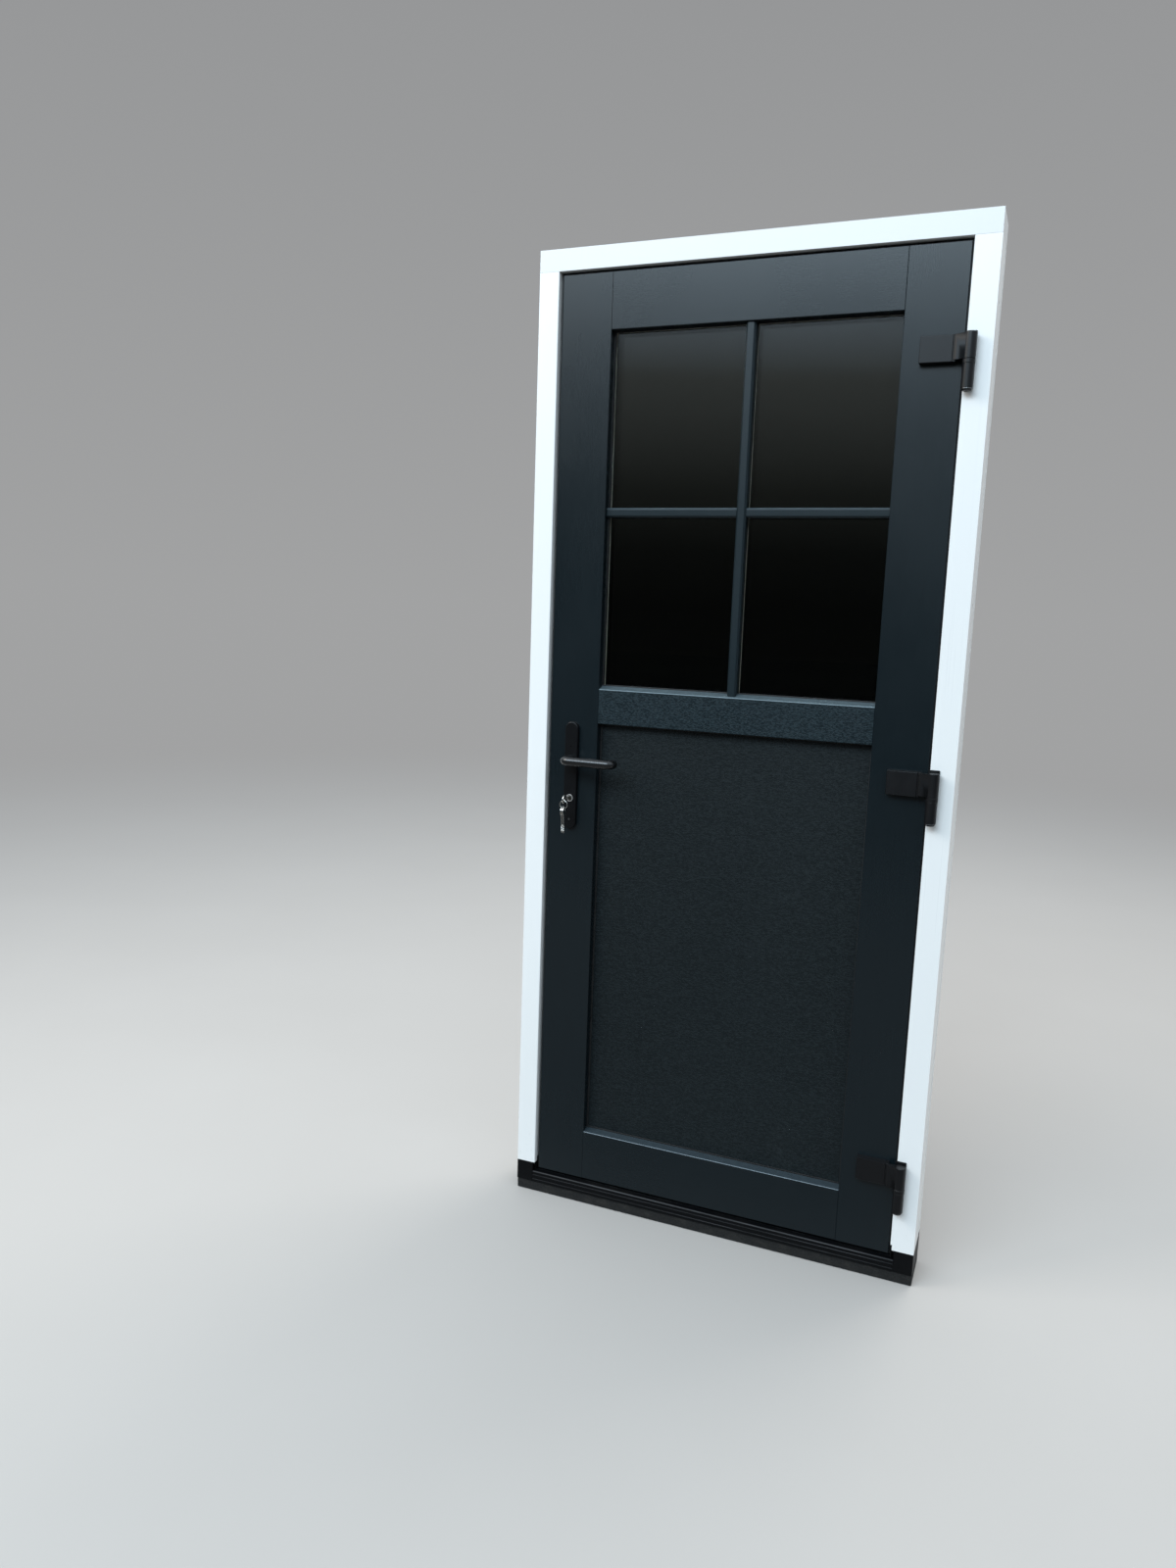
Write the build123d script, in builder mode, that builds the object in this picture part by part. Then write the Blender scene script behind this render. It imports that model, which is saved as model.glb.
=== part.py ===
from build123d import *
import os

os.makedirs("parts", exist_ok=True)

# Half-glazed exterior door in its frame. Millimetres, +Z up. X runs from the lock
# side (left, seen from outside) to the hinge side, Y from outside to inside.
# The origin is the centre of the underside of the base strip.

# ---------------------------------------------------------------- frame sizes
frame_width = 962.5
frame_height = 2217.0
frame_depth = 116.0
base_height = 26.0            # strip under the threshold
jamb_bottom = 76.0            # underside of the white jambs
head_bottom = 2170.5          # top of the jambs, underside of the head
face_width = 47.25            # white face seen beside the leaf
stop_width = 22.0             # how far the stop stands in behind the leaf
stop_depth = 35.0
wall = 3.0                    # outer wall of the white profiles

xo = frame_width / 2          # outer side of the frame
xi = xo - face_width          # return beside the leaf
xs = xi - stop_width          # inner edge of the stop
yf = -frame_depth / 2         # outside face of the frame
yb = frame_depth / 2          # inside face of the frame
y_stop = yb - stop_depth      # face of the stop
fixing_y = -10.0              # line of the wall fixings
fixing_heights = (326.0, 906.0, 1476.0, 2056.0)
fixing_r = 5.25

# ----------------------------------------------------------------- leaf sizes
leaf_half = 427.0
leaf_bottom = 63.0
leaf_top = 2163.0
leaf_front = yf + 8.0
leaf_depth = 70.0
leaf_back = leaf_front + leaf_depth
lip_depth = 20.0              # outer lip that covers the edge of the infill
lip_width = 20.0
y_lip = leaf_front + lip_depth
open_half = 309.5             # half the clear width between the stiles
body_half = open_half + lip_width
glass_bottom = 1270.5         # sight line of the glass, at the back of the ledge
glass_top = 2044.0
mid_front_top = 1262.5        # front arris of the middle rail's ledge
mid_bottom = 1183.5
low_front_top = 183.0         # front arris of the bottom rail's ledge
panel_bottom = 188.0          # back of the bottom rail's ledge
infill_front = y_lip + 2.0
infill_depth = 24.0
infill_back = infill_front + infill_depth
edge_gap = 5.0                # infill edge to the rebate

# -------------------------------------------------------------- hardware sizes
hinge_x, hinge_y = 440.0, -73.0
hinge_r = 12.0
pin_r = 5.0
hinge_bases = {"top": 1888.0, "middle": 1034.5, "bottom": 177.0}
cover_low, cover_tall = 51.6, 50.6

lock_y = -15.0                # middle plane of the lock
lock_x = -370.0               # lever and cylinder axis
z_lever = 1098.5
z_cyl = 1006.5
plate_bottom, plate_top = 933.0, 1185.0
plate_width, plate_depth = 32.0, 10.0
bolt_heights = (956.0, 1172.0)
latch_z0, latch_z1 = 1118.0, 1148.0
dead_z0, dead_z1 = 1036.0, 1070.0
hook_x = -412.0
hook_pivots = {"upper": 1700.0, "lower": 420.0}
hook_reach = 28.0
rod_travel = 18.0
face_z0, face_z1 = 263.0, 1963.0
leaf_screw_heights = (272.0, 920.0, 1172.0, 1956.0)

LOW = (Align.MIN, Align.MIN, Align.MIN)

# =============================================================== frame profiles
# Section of a jamb, left side: face, return, stop. Chambers run its whole length.
jamb_chambers = (
    (-xo + wall, -470.25, yf + wall, 10.0),
    (-xo + wall, -470.25, 13.0, yb - wall),
    (-467.75, -xi - wall, yf + wall, -43.0),
    (-467.75, -xi - wall, -40.5, 20.5),
    (-467.75, -441.0, y_stop + wall, yb - wall),
    (-438.5, -xs - wall, y_stop + wall, yb - wall),
)

with BuildPart() as jamb_blank:
    with BuildSketch(Plane.XY.offset(jamb_bottom)) as jamb_section:
        with BuildLine():
            Polyline((-xo, yf), (-xi, yf), (-xi, y_stop), (-xs, y_stop), (-xs, yb), (-xo, yb), close=True)
        make_face()
        fillet(jamb_section.vertices().group_by(Axis.Y)[0].sort_by(Axis.X)[-1:], 2.0)
        for x0, x1, y0, y1 in jamb_chambers:
            with Locations(((x0 + x1) / 2, (y0 + y1) / 2)):
                Rectangle(x1 - x0, y1 - y0, mode=Mode.SUBTRACT)
    extrude(amount=head_bottom - jamb_bottom)
    # groove for the wall seal in the outer side
    with Locations((-xo, 30.0, jamb_bottom)):
        Box(1.5, 12.0, head_bottom - jamb_bottom, align=LOW, mode=Mode.SUBTRACT)
    with Locations(*[Location((-457.6, fixing_y, z), (0, 90, 0)) for z in fixing_heights]):
        Cylinder(fixing_r, 60, mode=Mode.SUBTRACT)

with BuildPart() as frame_jamb_left:
    add(jamb_blank.part)
    # pockets for latch, deadbolt and hooks
    with Locations((-441.0, lock_y - 7.5, latch_z0 - 1.5)):
        Box(8.0, 15.0, latch_z1 - latch_z0 + 3.0, align=LOW, mode=Mode.SUBTRACT)
    with Locations((-452.0, lock_y - 7.5, dead_z0 - 1.5)):
        Box(19.0, 15.0, dead_z1 - dead_z0 + 3.0, align=LOW, mode=Mode.SUBTRACT)
    with Locations(*[(-446.0, lock_y - 5.5, z - 10.0) for z in hook_pivots.values()]):
        Box(13.0, 11.0, 36.0, align=LOW, mode=Mode.SUBTRACT)
    # pilot holes of the strike screws
    with Locations(*[Location((-444.0, lock_y, z), (0, 90, 0)) for z in (1018.0, 1093.0, 1162.0, 404.0, 462.0, 1684.0, 1742.0)]):
        Cylinder(2.1, 25, mode=Mode.SUBTRACT)
frame_jamb_left.part.label = "frame_jamb_left"
export_step(frame_jamb_left.part, "parts/frame_jamb_left.step")

hinge_screw_heights = [base + dz for base in hinge_bases.values() for dz in (62.0, 96.0)]
nose_x = 430.8
with BuildPart() as frame_jamb_right:
    mirror(jamb_blank.part, about=Plane.YZ)
    # cover lip beside the hinge stile
    with BuildSketch(Plane.XY.offset(88.3)) as lip_section:
        with BuildLine():
            Polyline((nose_x, yf), (438.0, yf), (438.0, -50.0), (nose_x, -50.0), close=True)
        make_face()
        fillet(lip_section.vertices().sort_by(Axis.X)[:2].sort_by(Axis.Y)[:1], 1.6)
    extrude(amount=head_bottom - 88.3)
    with Locations(*[Location((446.0, yf + 8.0, z), (90, 0, 0)) for z in hinge_screw_heights]):
        Cylinder(2.1, 34, mode=Mode.SUBTRACT)
frame_jamb_right.part.label = "frame_jamb_right"
export_step(frame_jamb_right.part, "parts/frame_jamb_right.step")

# The head lies over both jambs; its stop hangs between theirs. The ends are closed
# and each chamber has a vent slot in the top.
head_chambers = (
    (yf + wall, -43.0, head_bottom + wall, frame_height - wall),
    (-40.5, 20.5, head_bottom + 2.75, 2204.0),
    (-40.5, 20.5, 2206.5, frame_height - wall),
    (y_stop + 0.5, yb - wall, head_bottom + wall, frame_height - wall),
)
with BuildPart() as frame_head:
    with Locations((-xo, yf, head_bottom)):
        Box(frame_width, frame_depth, frame_height - head_bottom, align=LOW)
    with Locations((-xs, y_stop, head_bottom - stop_width)):
        Box(2 * xs, stop_depth, stop_width, align=LOW)
    for y0, y1, z0, z1 in head_chambers:
        with Locations((-xo + wall, y0, z0)):
            Box(frame_width - 2 * wall, y1 - y0, z1 - z0, align=LOW, mode=Mode.SUBTRACT)
    with Locations((-xs + wall, y_stop + wall, head_bottom - stop_width + wall)):
        Box(2 * xs - 2 * wall, stop_depth - 2 * wall, stop_width + wall, align=LOW, mode=Mode.SUBTRACT)
    with Locations((-300.0, -50.0, 2204.0), (-300.0, 35.0, 2204.0)):
        Box(30.0, 5.0, 20.0, align=LOW, mode=Mode.SUBTRACT)
    with Locations((-300.0, -12.0, 2203.0)):
        Box(30.0, 5.0, 20.0, align=LOW, mode=Mode.SUBTRACT)
frame_head.part.label = "frame_head"
export_step(frame_head.part, "parts/frame_head.step")

# Galvanised steel tubes in the main chambers.
steel_w, steel_d, steel_t = 30.15, 60.4, 2.0
with BuildPart() as frame_reinforcements:
    for side in (-1, 1):
        x_mid = side * (467.45 - steel_w / 2)
        with BuildSketch(Plane.XY.offset(jamb_bottom + 4.0)):
            with Locations((x_mid, -10.0)):
                Rectangle(steel_w, steel_d)
                Rectangle(steel_w - 2 * steel_t, steel_d - 2 * steel_t, mode=Mode.SUBTRACT)
        extrude(amount=head_bottom - jamb_bottom - 8.0)
    with BuildSketch(Plane.YZ.offset(-465.0)):
        with Locations((-10.0, head_bottom + 2.75 + 0.3 + steel_w / 2)):
            Rectangle(steel_d, steel_w)
            Rectangle(steel_d - 2 * steel_t, steel_w - 2 * steel_t, mode=Mode.SUBTRACT)
    extrude(amount=930.0)
    with Locations(*[Location((0.0, fixing_y, z), (0, 90, 0)) for z in fixing_heights]):
        Cylinder(fixing_r, 1000, mode=Mode.SUBTRACT)
    with Locations((-453.0, lock_y - 8.0, dead_z0 - 2.0)):
        Box(20.0, 16.0, dead_z1 - dead_z0 + 4.0, align=LOW, mode=Mode.SUBTRACT)
    with Locations((-453.0, lock_y - 8.0, latch_z0 - 2.0)):
        Box(20.0, 16.0, latch_z1 - latch_z0 + 4.0, align=LOW, mode=Mode.SUBTRACT)
    with Locations(*[(-453.0, lock_y - 8.0, z - 12.0) for z in hook_pivots.values()]):
        Box(20.0, 16.0, 40.0, align=LOW, mode=Mode.SUBTRACT)
    with Locations(*[Location((-444.0, lock_y, z), (0, 90, 0)) for z in (1018.0, 1093.0, 1162.0, 404.0, 462.0, 1684.0, 1742.0)]):
        Cylinder(2.1, 28, mode=Mode.SUBTRACT)
    with Locations(*[Location((446.0, yf + 8.0, z), (90, 0, 0)) for z in hinge_screw_heights]):
        Cylinder(2.1, 34, mode=Mode.SUBTRACT)
frame_reinforcements.part.label = "frame_reinforcements"
export_step(frame_reinforcements.part, "parts/frame_reinforcements.step")

# ==================================================================== threshold
thr_half = 439.0
with BuildPart() as threshold:
    with BuildSketch(Plane.YZ.offset(-thr_half)):
        with BuildLine():
            Polyline(
                (yf, base_height), (yf, 51.5), (yf + 2.0, 53.5), (-30.0, 55.0), (y_stop, 56.5),
                (y_stop, jamb_bottom), (yb, jamb_bottom), (yb, base_height), close=True,
            )
        make_face()
        for y0, y1, z0, z1 in ((yf + 3, -32.0, 29.0, 50.0), (-29.0, 0.0, 29.0, 51.5), (3.0, y_stop - 0.5, 29.0, 52.5), (y_stop + 2.5, yb - 3.0, 29.0, 73.0)):
            with Locations(((y0 + y1) / 2, (z0 + z1) / 2)):
                Rectangle(y1 - y0, z1 - z0, mode=Mode.SUBTRACT)
        # drip grooves along the front
        with Locations((yf, 44.5), (yf, 33.5)):
            Rectangle(2.4, 1.6, mode=Mode.SUBTRACT)
        # anti-slip grooves in the tread
        with Locations(*[(y, 55.4) for y in (-44.0, -37.0)]):
            Rectangle(1.8, 2.4, mode=Mode.SUBTRACT)
    extrude(amount=2 * thr_half)
    with Locations((-xs + 0.2, y_stop, jamb_bottom)):
        Box(2 * xs - 0.4, stop_depth, 9.0, align=LOW)
threshold.part.label = "threshold"
export_step(threshold.part, "parts/threshold.step")

with BuildPart() as threshold_end_left:
    with Locations((-xo, yf, base_height)):
        Box(xo - thr_half, frame_depth, jamb_bottom - base_height, align=LOW)
    # inner lug that closes the gap behind the foot of the jamb
    with Locations((-thr_half, -45.0, 57.5)):
        Box(thr_half - 432.6, 55.0, jamb_bottom - 57.5, align=LOW)
    with Locations((-xi, -45.0, 57.5)):
        Box(xi - 432.6, 55.0, 88.0 - 57.5, align=LOW)
    # relief underneath
    with Locations((-xo + 4.0, yf + 4.0, base_height)):
        Box(xo - thr_half - 8.0, frame_depth - 8.0, 40.0, align=LOW, mode=Mode.SUBTRACT)
threshold_end_left.part.label = "threshold_end_left"
export_step(threshold_end_left.part, "parts/threshold_end_left.step")

with BuildPart() as threshold_end_right:
    mirror(threshold_end_left.part, about=Plane.YZ)
    with Locations((nose_x + 0.4, -56.4, 57.5)):
        Box(434.0 - nose_x - 0.6, 11.5, 88.0 - 57.5, align=LOW)
threshold_end_right.part.label = "threshold_end_right"
export_step(threshold_end_right.part, "parts/threshold_end_right.step")

with BuildPart() as threshold_base:
    with BuildSketch(Plane.XY):
        Rectangle(frame_width, frame_depth - 6.0)
    extrude(amount=base_height)
    chamfer(threshold_base.edges().group_by(Axis.Y)[0].filter_by(Axis.X), 2.0)
threshold_base.part.label = "threshold_base"
export_step(threshold_base.part, "parts/threshold_base.step")

# Seal in the face of the stop, all round.
with BuildPart() as frame_gasket:
    with BuildSketch(Plane.XZ.offset(-y_stop)):
        with Locations((0, (66.0 + 2161.0) / 2)):
            Rectangle(850.0, 2095.0)
            Rectangle(834.0, 2079.0, mode=Mode.SUBTRACT)
    extrude(amount=2.7)
    chamfer(frame_gasket.faces().sort_by(Axis.Y)[0].edges(), 1.2)
frame_gasket.part.label = "frame_gasket"
export_step(frame_gasket.part, "parts/frame_gasket.step")

# ================================================================ strike plates
with BuildPart() as strike_plate_centre:
    with BuildSketch(Plane.YZ.offset(-xi)):
        with Locations((lock_y, 1090.0)):
            RectangleRounded(36.0, 168.0, 5.0)
        with Locations((lock_y, (latch_z0 + latch_z1) / 2)):
            RectangleRounded(14.0, 32.0, 1.0, mode=Mode.SUBTRACT)
        with Locations((lock_y, (dead_z0 + dead_z1) / 2)):
            RectangleRounded(14.0, 36.0, 1.0, mode=Mode.SUBTRACT)
    extrude(amount=1.5)
    with Locations(*[Location((-xi + 0.75, lock_y, z), (0, 90, 0)) for z in (1018.0, 1093.0, 1162.0)]):
        Cone(2.1, 3.6, 1.5, mode=Mode.SUBTRACT)
strike_plate_centre.part.label = "strike_plate_centre"
export_step(strike_plate_centre.part, "parts/strike_plate_centre.step")

with BuildPart() as strike_plates_hook:
    with BuildSketch(Plane.YZ.offset(-xi)):
        for z in hook_pivots.values():
            with Locations((lock_y, z + 13.0)):
                RectangleRounded(36.0, 80.0, 5.0)
            with Locations((lock_y, z + 8.5)):
                RectangleRounded(10.6, 36.0, 1.0, mode=Mode.SUBTRACT)
    extrude(amount=1.5)
    with Locations(*[Location((-xi + 0.75, lock_y, z + dz), (0, 90, 0)) for z in hook_pivots.values() for dz in (-16.0, 42.0)]):
        Cone(2.1, 3.6, 1.5, mode=Mode.SUBTRACT)
strike_plates_hook.part.label = "strike_plates_hook"
export_step(strike_plates_hook.part, "parts/strike_plates_hook.step")

# Identical countersunk screws: strikes on the left, hinges on the right.
with BuildPart() as frame_screws:
    with Locations(*[Location((-xi + 0.75, lock_y, z), (0, 90, 0)) for z in (1018.0, 1093.0, 1162.0, 404.0, 462.0, 1684.0, 1742.0)]):
        Cone(2.1, 3.6, 1.5)
    with Locations(*[Location((-xi - 11.0, lock_y, z), (0, 90, 0)) for z in (1018.0, 1093.0, 1162.0, 404.0, 462.0, 1684.0, 1742.0)]):
        Cylinder(2.1, 22.0)
    with Locations(*[Location((446.0, yf - 1.75, z), (90, 0, 0)) for z in hinge_screw_heights]):
        Cone(2.1, 3.6, 1.5)
    with Locations(*[Location((446.0, yf - 1.0 + 11.0, z), (90, 0, 0)) for z in hinge_screw_heights]):
        Cylinder(2.1, 22.0)
frame_screws.part.label = "frame_screws"
export_step(frame_screws.part, "parts/frame_screws.step")

# ======================================================================= hinges
# Three knuckle hinges: the lower knuckle is the frame's, the upper one the leaf's.
with BuildPart() as hinge_pins:
    for base in hinge_bases.values():
        with BuildSketch(Plane.XY.offset(base)):
            with Locations((hinge_x, hinge_y)):
                Circle(pin_r)
        extrude(amount=94.0)
        with BuildSketch(Plane.XY.offset(base - 1.0)):
            with Locations((hinge_x, hinge_y)):
                Circle(10.6)
        extrude(amount=1.0)
        with BuildSketch(Plane.XY.offset(base - 4.5)):
            with Locations((hinge_x, hinge_y)):
                Circle(9.6)
        extrude(amount=3.5)
hinge_pins.part.label = "hinge_pins"
export_step(hinge_pins.part, "parts/hinge_pins.step")

with BuildPart() as hinge_bearing_rings:
    for base in hinge_bases.values():
        with BuildSketch(Plane.XY.offset(base + 45.0)):
            with Locations((hinge_x, hinge_y)):
                Circle(12.3)
                Circle(pin_r + 0.06, mode=Mode.SUBTRACT)
        extrude(amount=9.0)
    chamfer(hinge_bearing_rings.edges().filter_by(GeomType.CIRCLE).filter_by(lambda e: e.radius > 12), 0.8)
hinge_bearing_rings.part.label = "hinge_bearing_rings"
export_step(hinge_bearing_rings.part, "parts/hinge_bearing_rings.step")

for hinge_name, base in hinge_bases.items():
    with BuildPart() as hinge_frame_part:
        with BuildSketch(Plane.XY.offset(base)):
            with Locations((hinge_x, hinge_y)):
                Circle(11.6)
        extrude(amount=45.0)
        with Locations((hinge_x - 10.0, hinge_y + 4.0, base)):
            Box(20.0, yf - hinge_y - 4.0, 45.0, align=LOW)
        with BuildSketch(Plane.XZ.offset(-yf)):
            with Locations((hinge_x - 0.75, base + 54.5)):
                RectangleRounded(22.5, 109.0, 2.0)
        extrude(amount=2.5)
        with Locations((hinge_x, hinge_y, base + 22.5)):
            Cylinder(pin_r + 0.06, 50.0, mode=Mode.SUBTRACT)
        with Locations(*[Location((446.0, yf - 1.75, base + dz), (90, 0, 0)) for dz in (62.0, 96.0)]):
            Cone(2.1, 3.6, 1.5, mode=Mode.SUBTRACT)
        with Locations(*[Location((446.0, yf, base + dz), (90, 0, 0)) for dz in (62.0, 96.0)]):
            Cylinder(2.1, 6.0, mode=Mode.SUBTRACT)
    hinge_frame_part.part.label = "hinge_" + hinge_name + "_frame_part"
    export_step(hinge_frame_part.part, "parts/hinge_" + hinge_name + "_frame_part.step")

    with BuildPart() as hinge_leaf_part:
        with BuildSketch(Plane.XY.offset(base + 54.2)):
            with Locations((hinge_x, hinge_y)):
                Circle(hinge_r)
        extrude(amount=49.8)
        fillet(hinge_leaf_part.edges().group_by(Axis.Z)[-1], 1.5)
        # neck, drawn out of the knuckle as a tangent, end strip and screw plate of the flag
        with BuildSketch(Plane.XY.offset(base + 54.6)):
            with BuildLine():
                Polyline((410.0, -67.7), (433.6, -82.95), (hinge_x, hinge_y), (437.0, -64.0), (410.0, -64.0), close=True)
            make_face()
        extrude(amount=47.6)
        with Locations((408.0, -67.5, base + cover_low)):
            Box(6.0, -50.0 + 67.5, cover_tall, align=LOW)
        with Locations((350.0, -54.0, base + 55.6)):
            Box(60.0, 4.0, 43.6, align=LOW)
        with Locations((hinge_x, hinge_y, base + 54.2)):
            Cylinder(pin_r + 0.08, 41.8, align=(Align.CENTER, Align.CENTER, Align.MIN), mode=Mode.SUBTRACT)
        with Locations(*[Location((x, -53.25, base + dz), (90, 0, 0)) for x, dz in ((362.0, 66.0), (362.0, 92.0), (394.0, 79.0))]):
            Cone(2.1, 3.6, 1.5, mode=Mode.SUBTRACT)
        with Locations(*[Location((x, -51.0, base + dz), (90, 0, 0)) for x, dz in ((362.0, 66.0), (362.0, 92.0), (394.0, 79.0))]):
            Cylinder(2.1, 4.0, mode=Mode.SUBTRACT)
    hinge_leaf_part.part.label = "hinge_" + hinge_name + "_leaf_part"
    export_step(hinge_leaf_part.part, "parts/hinge_" + hinge_name + "_leaf_part.step")

with BuildPart() as hinge_covers:
    for base in hinge_bases.values():
        with BuildPart(mode=Mode.PRIVATE) as one_cover:
            with Locations((345.7, -67.0, base + cover_low)):
                Box(62.1, 17.0, cover_tall, align=LOW)
            chamfer(one_cover.faces().sort_by(Axis.Y)[0].edges(), 0.7)
            with Locations((347.7, -65.0, base + cover_low + 2.0)):
                Box(60.1, 15.0, cover_tall - 4.0, align=LOW, mode=Mode.SUBTRACT)
        add(one_cover.part)
hinge_covers.part.label = "hinge_covers"
export_step(hinge_covers.part, "parts/hinge_covers.step")

# ================================================================== leaf profiles
# Section of a stile, lock side: outer lip to the sight line, body to the rebate.
stile_chambers = (
    (-424.0, -345.0, -47.5, -41.0),
    (-342.5, -312.5, -47.5, -32.5),
    (-418.5, -404.5, -38.5, 8.5),
    (-402.0, -352.0, -38.5, 8.5),
    (-349.5, -332.0, -27.5, 8.5),
    (-424.0, -332.0, 11.0, 17.5),
)
with BuildPart() as stile_blank:
    with BuildSketch(Plane.XY.offset(leaf_bottom)):
        with BuildLine():
            Polyline(
                (-leaf_half, leaf_front), (-open_half, leaf_front), (-open_half, y_lip),
                (-body_half, y_lip), (-body_half, leaf_back), (-leaf_half, leaf_back), close=True,
            )
        make_face()
    extrude(amount=leaf_top - leaf_bottom)
    chamfer(stile_blank.edges().filter_by(Axis.Z).group_by(Axis.Y)[0], 1.0)
    for x0, x1, y0, y1 in stile_chambers:
        with Locations((x0, y0, leaf_bottom + 3.0)):
            Box(x1 - x0, y1 - y0, leaf_top - leaf_bottom - 6.0, align=LOW, mode=Mode.SUBTRACT)
    # drain slots in the foot
    with Locations((-395.0, -46.5, leaf_bottom - 1.0), (-335.0, -43.0, leaf_bottom - 1.0), (-415.0, -30.0, leaf_bottom - 1.0),
                   (-380.0, -10.0, leaf_bottom - 1.0), (-345.0, -12.0, leaf_bottom - 1.0), (-380.0, 12.0, leaf_bottom - 1.0)):
        Box(8.0, 4.5, 6.0, align=LOW, mode=Mode.SUBTRACT)

with BuildPart() as stile_lock_side:
    add(stile_blank.part)
    # groove for the faceplate and the drive rod behind it
    with Locations((-427.0, lock_y - 10.0, face_z0)):
        Box(3.0, 20.0, face_z1 - face_z0, align=LOW, mode=Mode.SUBTRACT)
    with Locations((-424.0, lock_y - 10.0, 290.0)):
        Box(3.0, 20.0, 1662.0, align=LOW, mode=Mode.SUBTRACT)
    with Locations((-421.0, lock_y - 7.7, 929.8)):
        Box(75.2, 15.4, 235.4, align=LOW, mode=Mode.SUBTRACT)
    with Locations(*[(-421.0, lock_y - 7.7, z - 15.2) for z in hook_pivots.values()]):
        Box(26.2, 15.4, 60.4, align=LOW, mode=Mode.SUBTRACT)
    with Locations(Location((lock_x, -15.0, z_lever), (90, 0, 0))):
        Cylinder(11.6, 80.0, mode=Mode.SUBTRACT)
    with Locations(Location((lock_x, -15.0, z_cyl), (90, 0, 0))):
        Cylinder(9.6, 80.0, mode=Mode.SUBTRACT)
    with Locations((lock_x - 6.2, -55.0, z_cyl - 26.0)):
        Box(12.4, 80.0, 26.0, align=LOW, mode=Mode.SUBTRACT)
    with Locations(*[Location((lock_x, -15.0, z), (90, 0, 0)) for z in bolt_heights]):
        Cylinder(3.6, 80.0, mode=Mode.SUBTRACT)
    with Locations(*[Location((-413.0, lock_y, z), (0, 90, 0)) for z in leaf_screw_heights]):
        Cylinder(2.1, 24.0, mode=Mode.SUBTRACT)
stile_lock_side.part.label = "stile_lock_side"
export_step(stile_lock_side.part, "parts/stile_lock_side.step")

leaf_hinge_screws = [(x, base + dz) for base in hinge_bases.values() for x, dz in ((362.0, 66.0), (362.0, 92.0), (394.0, 79.0))]
with BuildPart() as stile_hinge_side:
    mirror(stile_blank.part, about=Plane.YZ)
    with Locations(*[Location((x, -40.0, z), (90, 0, 0)) for x, z in leaf_hinge_screws]):
        Cylinder(2.1, 24.0, mode=Mode.SUBTRACT)
stile_hinge_side.part.label = "stile_hinge_side"
export_step(stile_hinge_side.part, "parts/stile_hinge_side.step")

# Rails: the outer part butts against the stiles' lips, the rear part against their bodies.
rail_tube = (34.6, 40.6)      # chamber for the steel, depth by height
with BuildPart() as rail_top:
    with BuildSketch(Plane.YZ.offset(-open_half)):
        with BuildLine():
            Polyline((leaf_front, glass_top), (y_lip, glass_top), (y_lip, leaf_top), (leaf_front, leaf_top), close=True)
        make_face()
    extrude(amount=2 * open_half)
    with BuildSketch(Plane.YZ.offset(-body_half)):
        with BuildLine():
            Polyline((y_lip, glass_top + 20.0), (leaf_back, glass_top + 20.0), (leaf_back, leaf_top), (y_lip, leaf_top), close=True)
        make_face()
    extrude(amount=2 * body_half)
    for y0, y1, z0, z1 in ((-47.0, -33.0, 2047.0, 2100.0), (-47.0, -33.0, 2103.0, 2160.0), (-27.0, 7.6, 2080.0, 2120.6), (-27.0, 7.6, 2123.0, 2160.0), (10.5, 17.0, 2067.0, 2160.0)):
        with Locations((-340.0, y0, z0)):
            Box(680.0, y1 - y0, z1 - z0, align=LOW, mode=Mode.SUBTRACT)
    chamfer(rail_top.edges().filter_by(Axis.X).group_by(Axis.Y)[0].group_by(Axis.Z)[0], 1.0)
rail_top.part.label = "rail_top"
export_step(rail_top.part, "parts/rail_top.step")

with BuildPart() as rail_middle:
    with BuildSketch(Plane.YZ.offset(-open_half)):
        with BuildLine():
            Polyline((leaf_front, mid_bottom), (y_lip, mid_bottom), (y_lip, glass_bottom), (leaf_front + 1.0, mid_front_top + 0.5), (leaf_front, mid_front_top - 0.6), close=True)
        make_face()
    extrude(amount=2 * open_half)
    with BuildSketch(Plane.YZ.offset(-body_half)):
        with BuildLine():
            Polyline((y_lip, mid_bottom + 20.0), (leaf_back, mid_bottom + 20.0), (leaf_back, glass_bottom - 20.0), (y_lip, glass_bottom - 20.0), close=True)
        make_face()
    extrude(amount=2 * body_half)
    for y0, y1, z0, z1 in ((-47.0, -33.0, 1187.0, 1225.0), (-47.0, -33.0, 1228.0, 1257.0), (-27.0, 7.6, 1206.7, 1247.3), (10.5, 17.0, 1206.7, 1247.3)):
        with Locations((-340.0, y0, z0)):
            Box(680.0, y1 - y0, z1 - z0, align=LOW, mode=Mode.SUBTRACT)
    chamfer(rail_middle.edges().filter_by(Axis.X).group_by(Axis.Y)[0].group_by(Axis.Z)[0], 1.0)
rail_middle.part.label = "rail_middle"
export_step(rail_middle.part, "parts/rail_middle.step")

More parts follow.
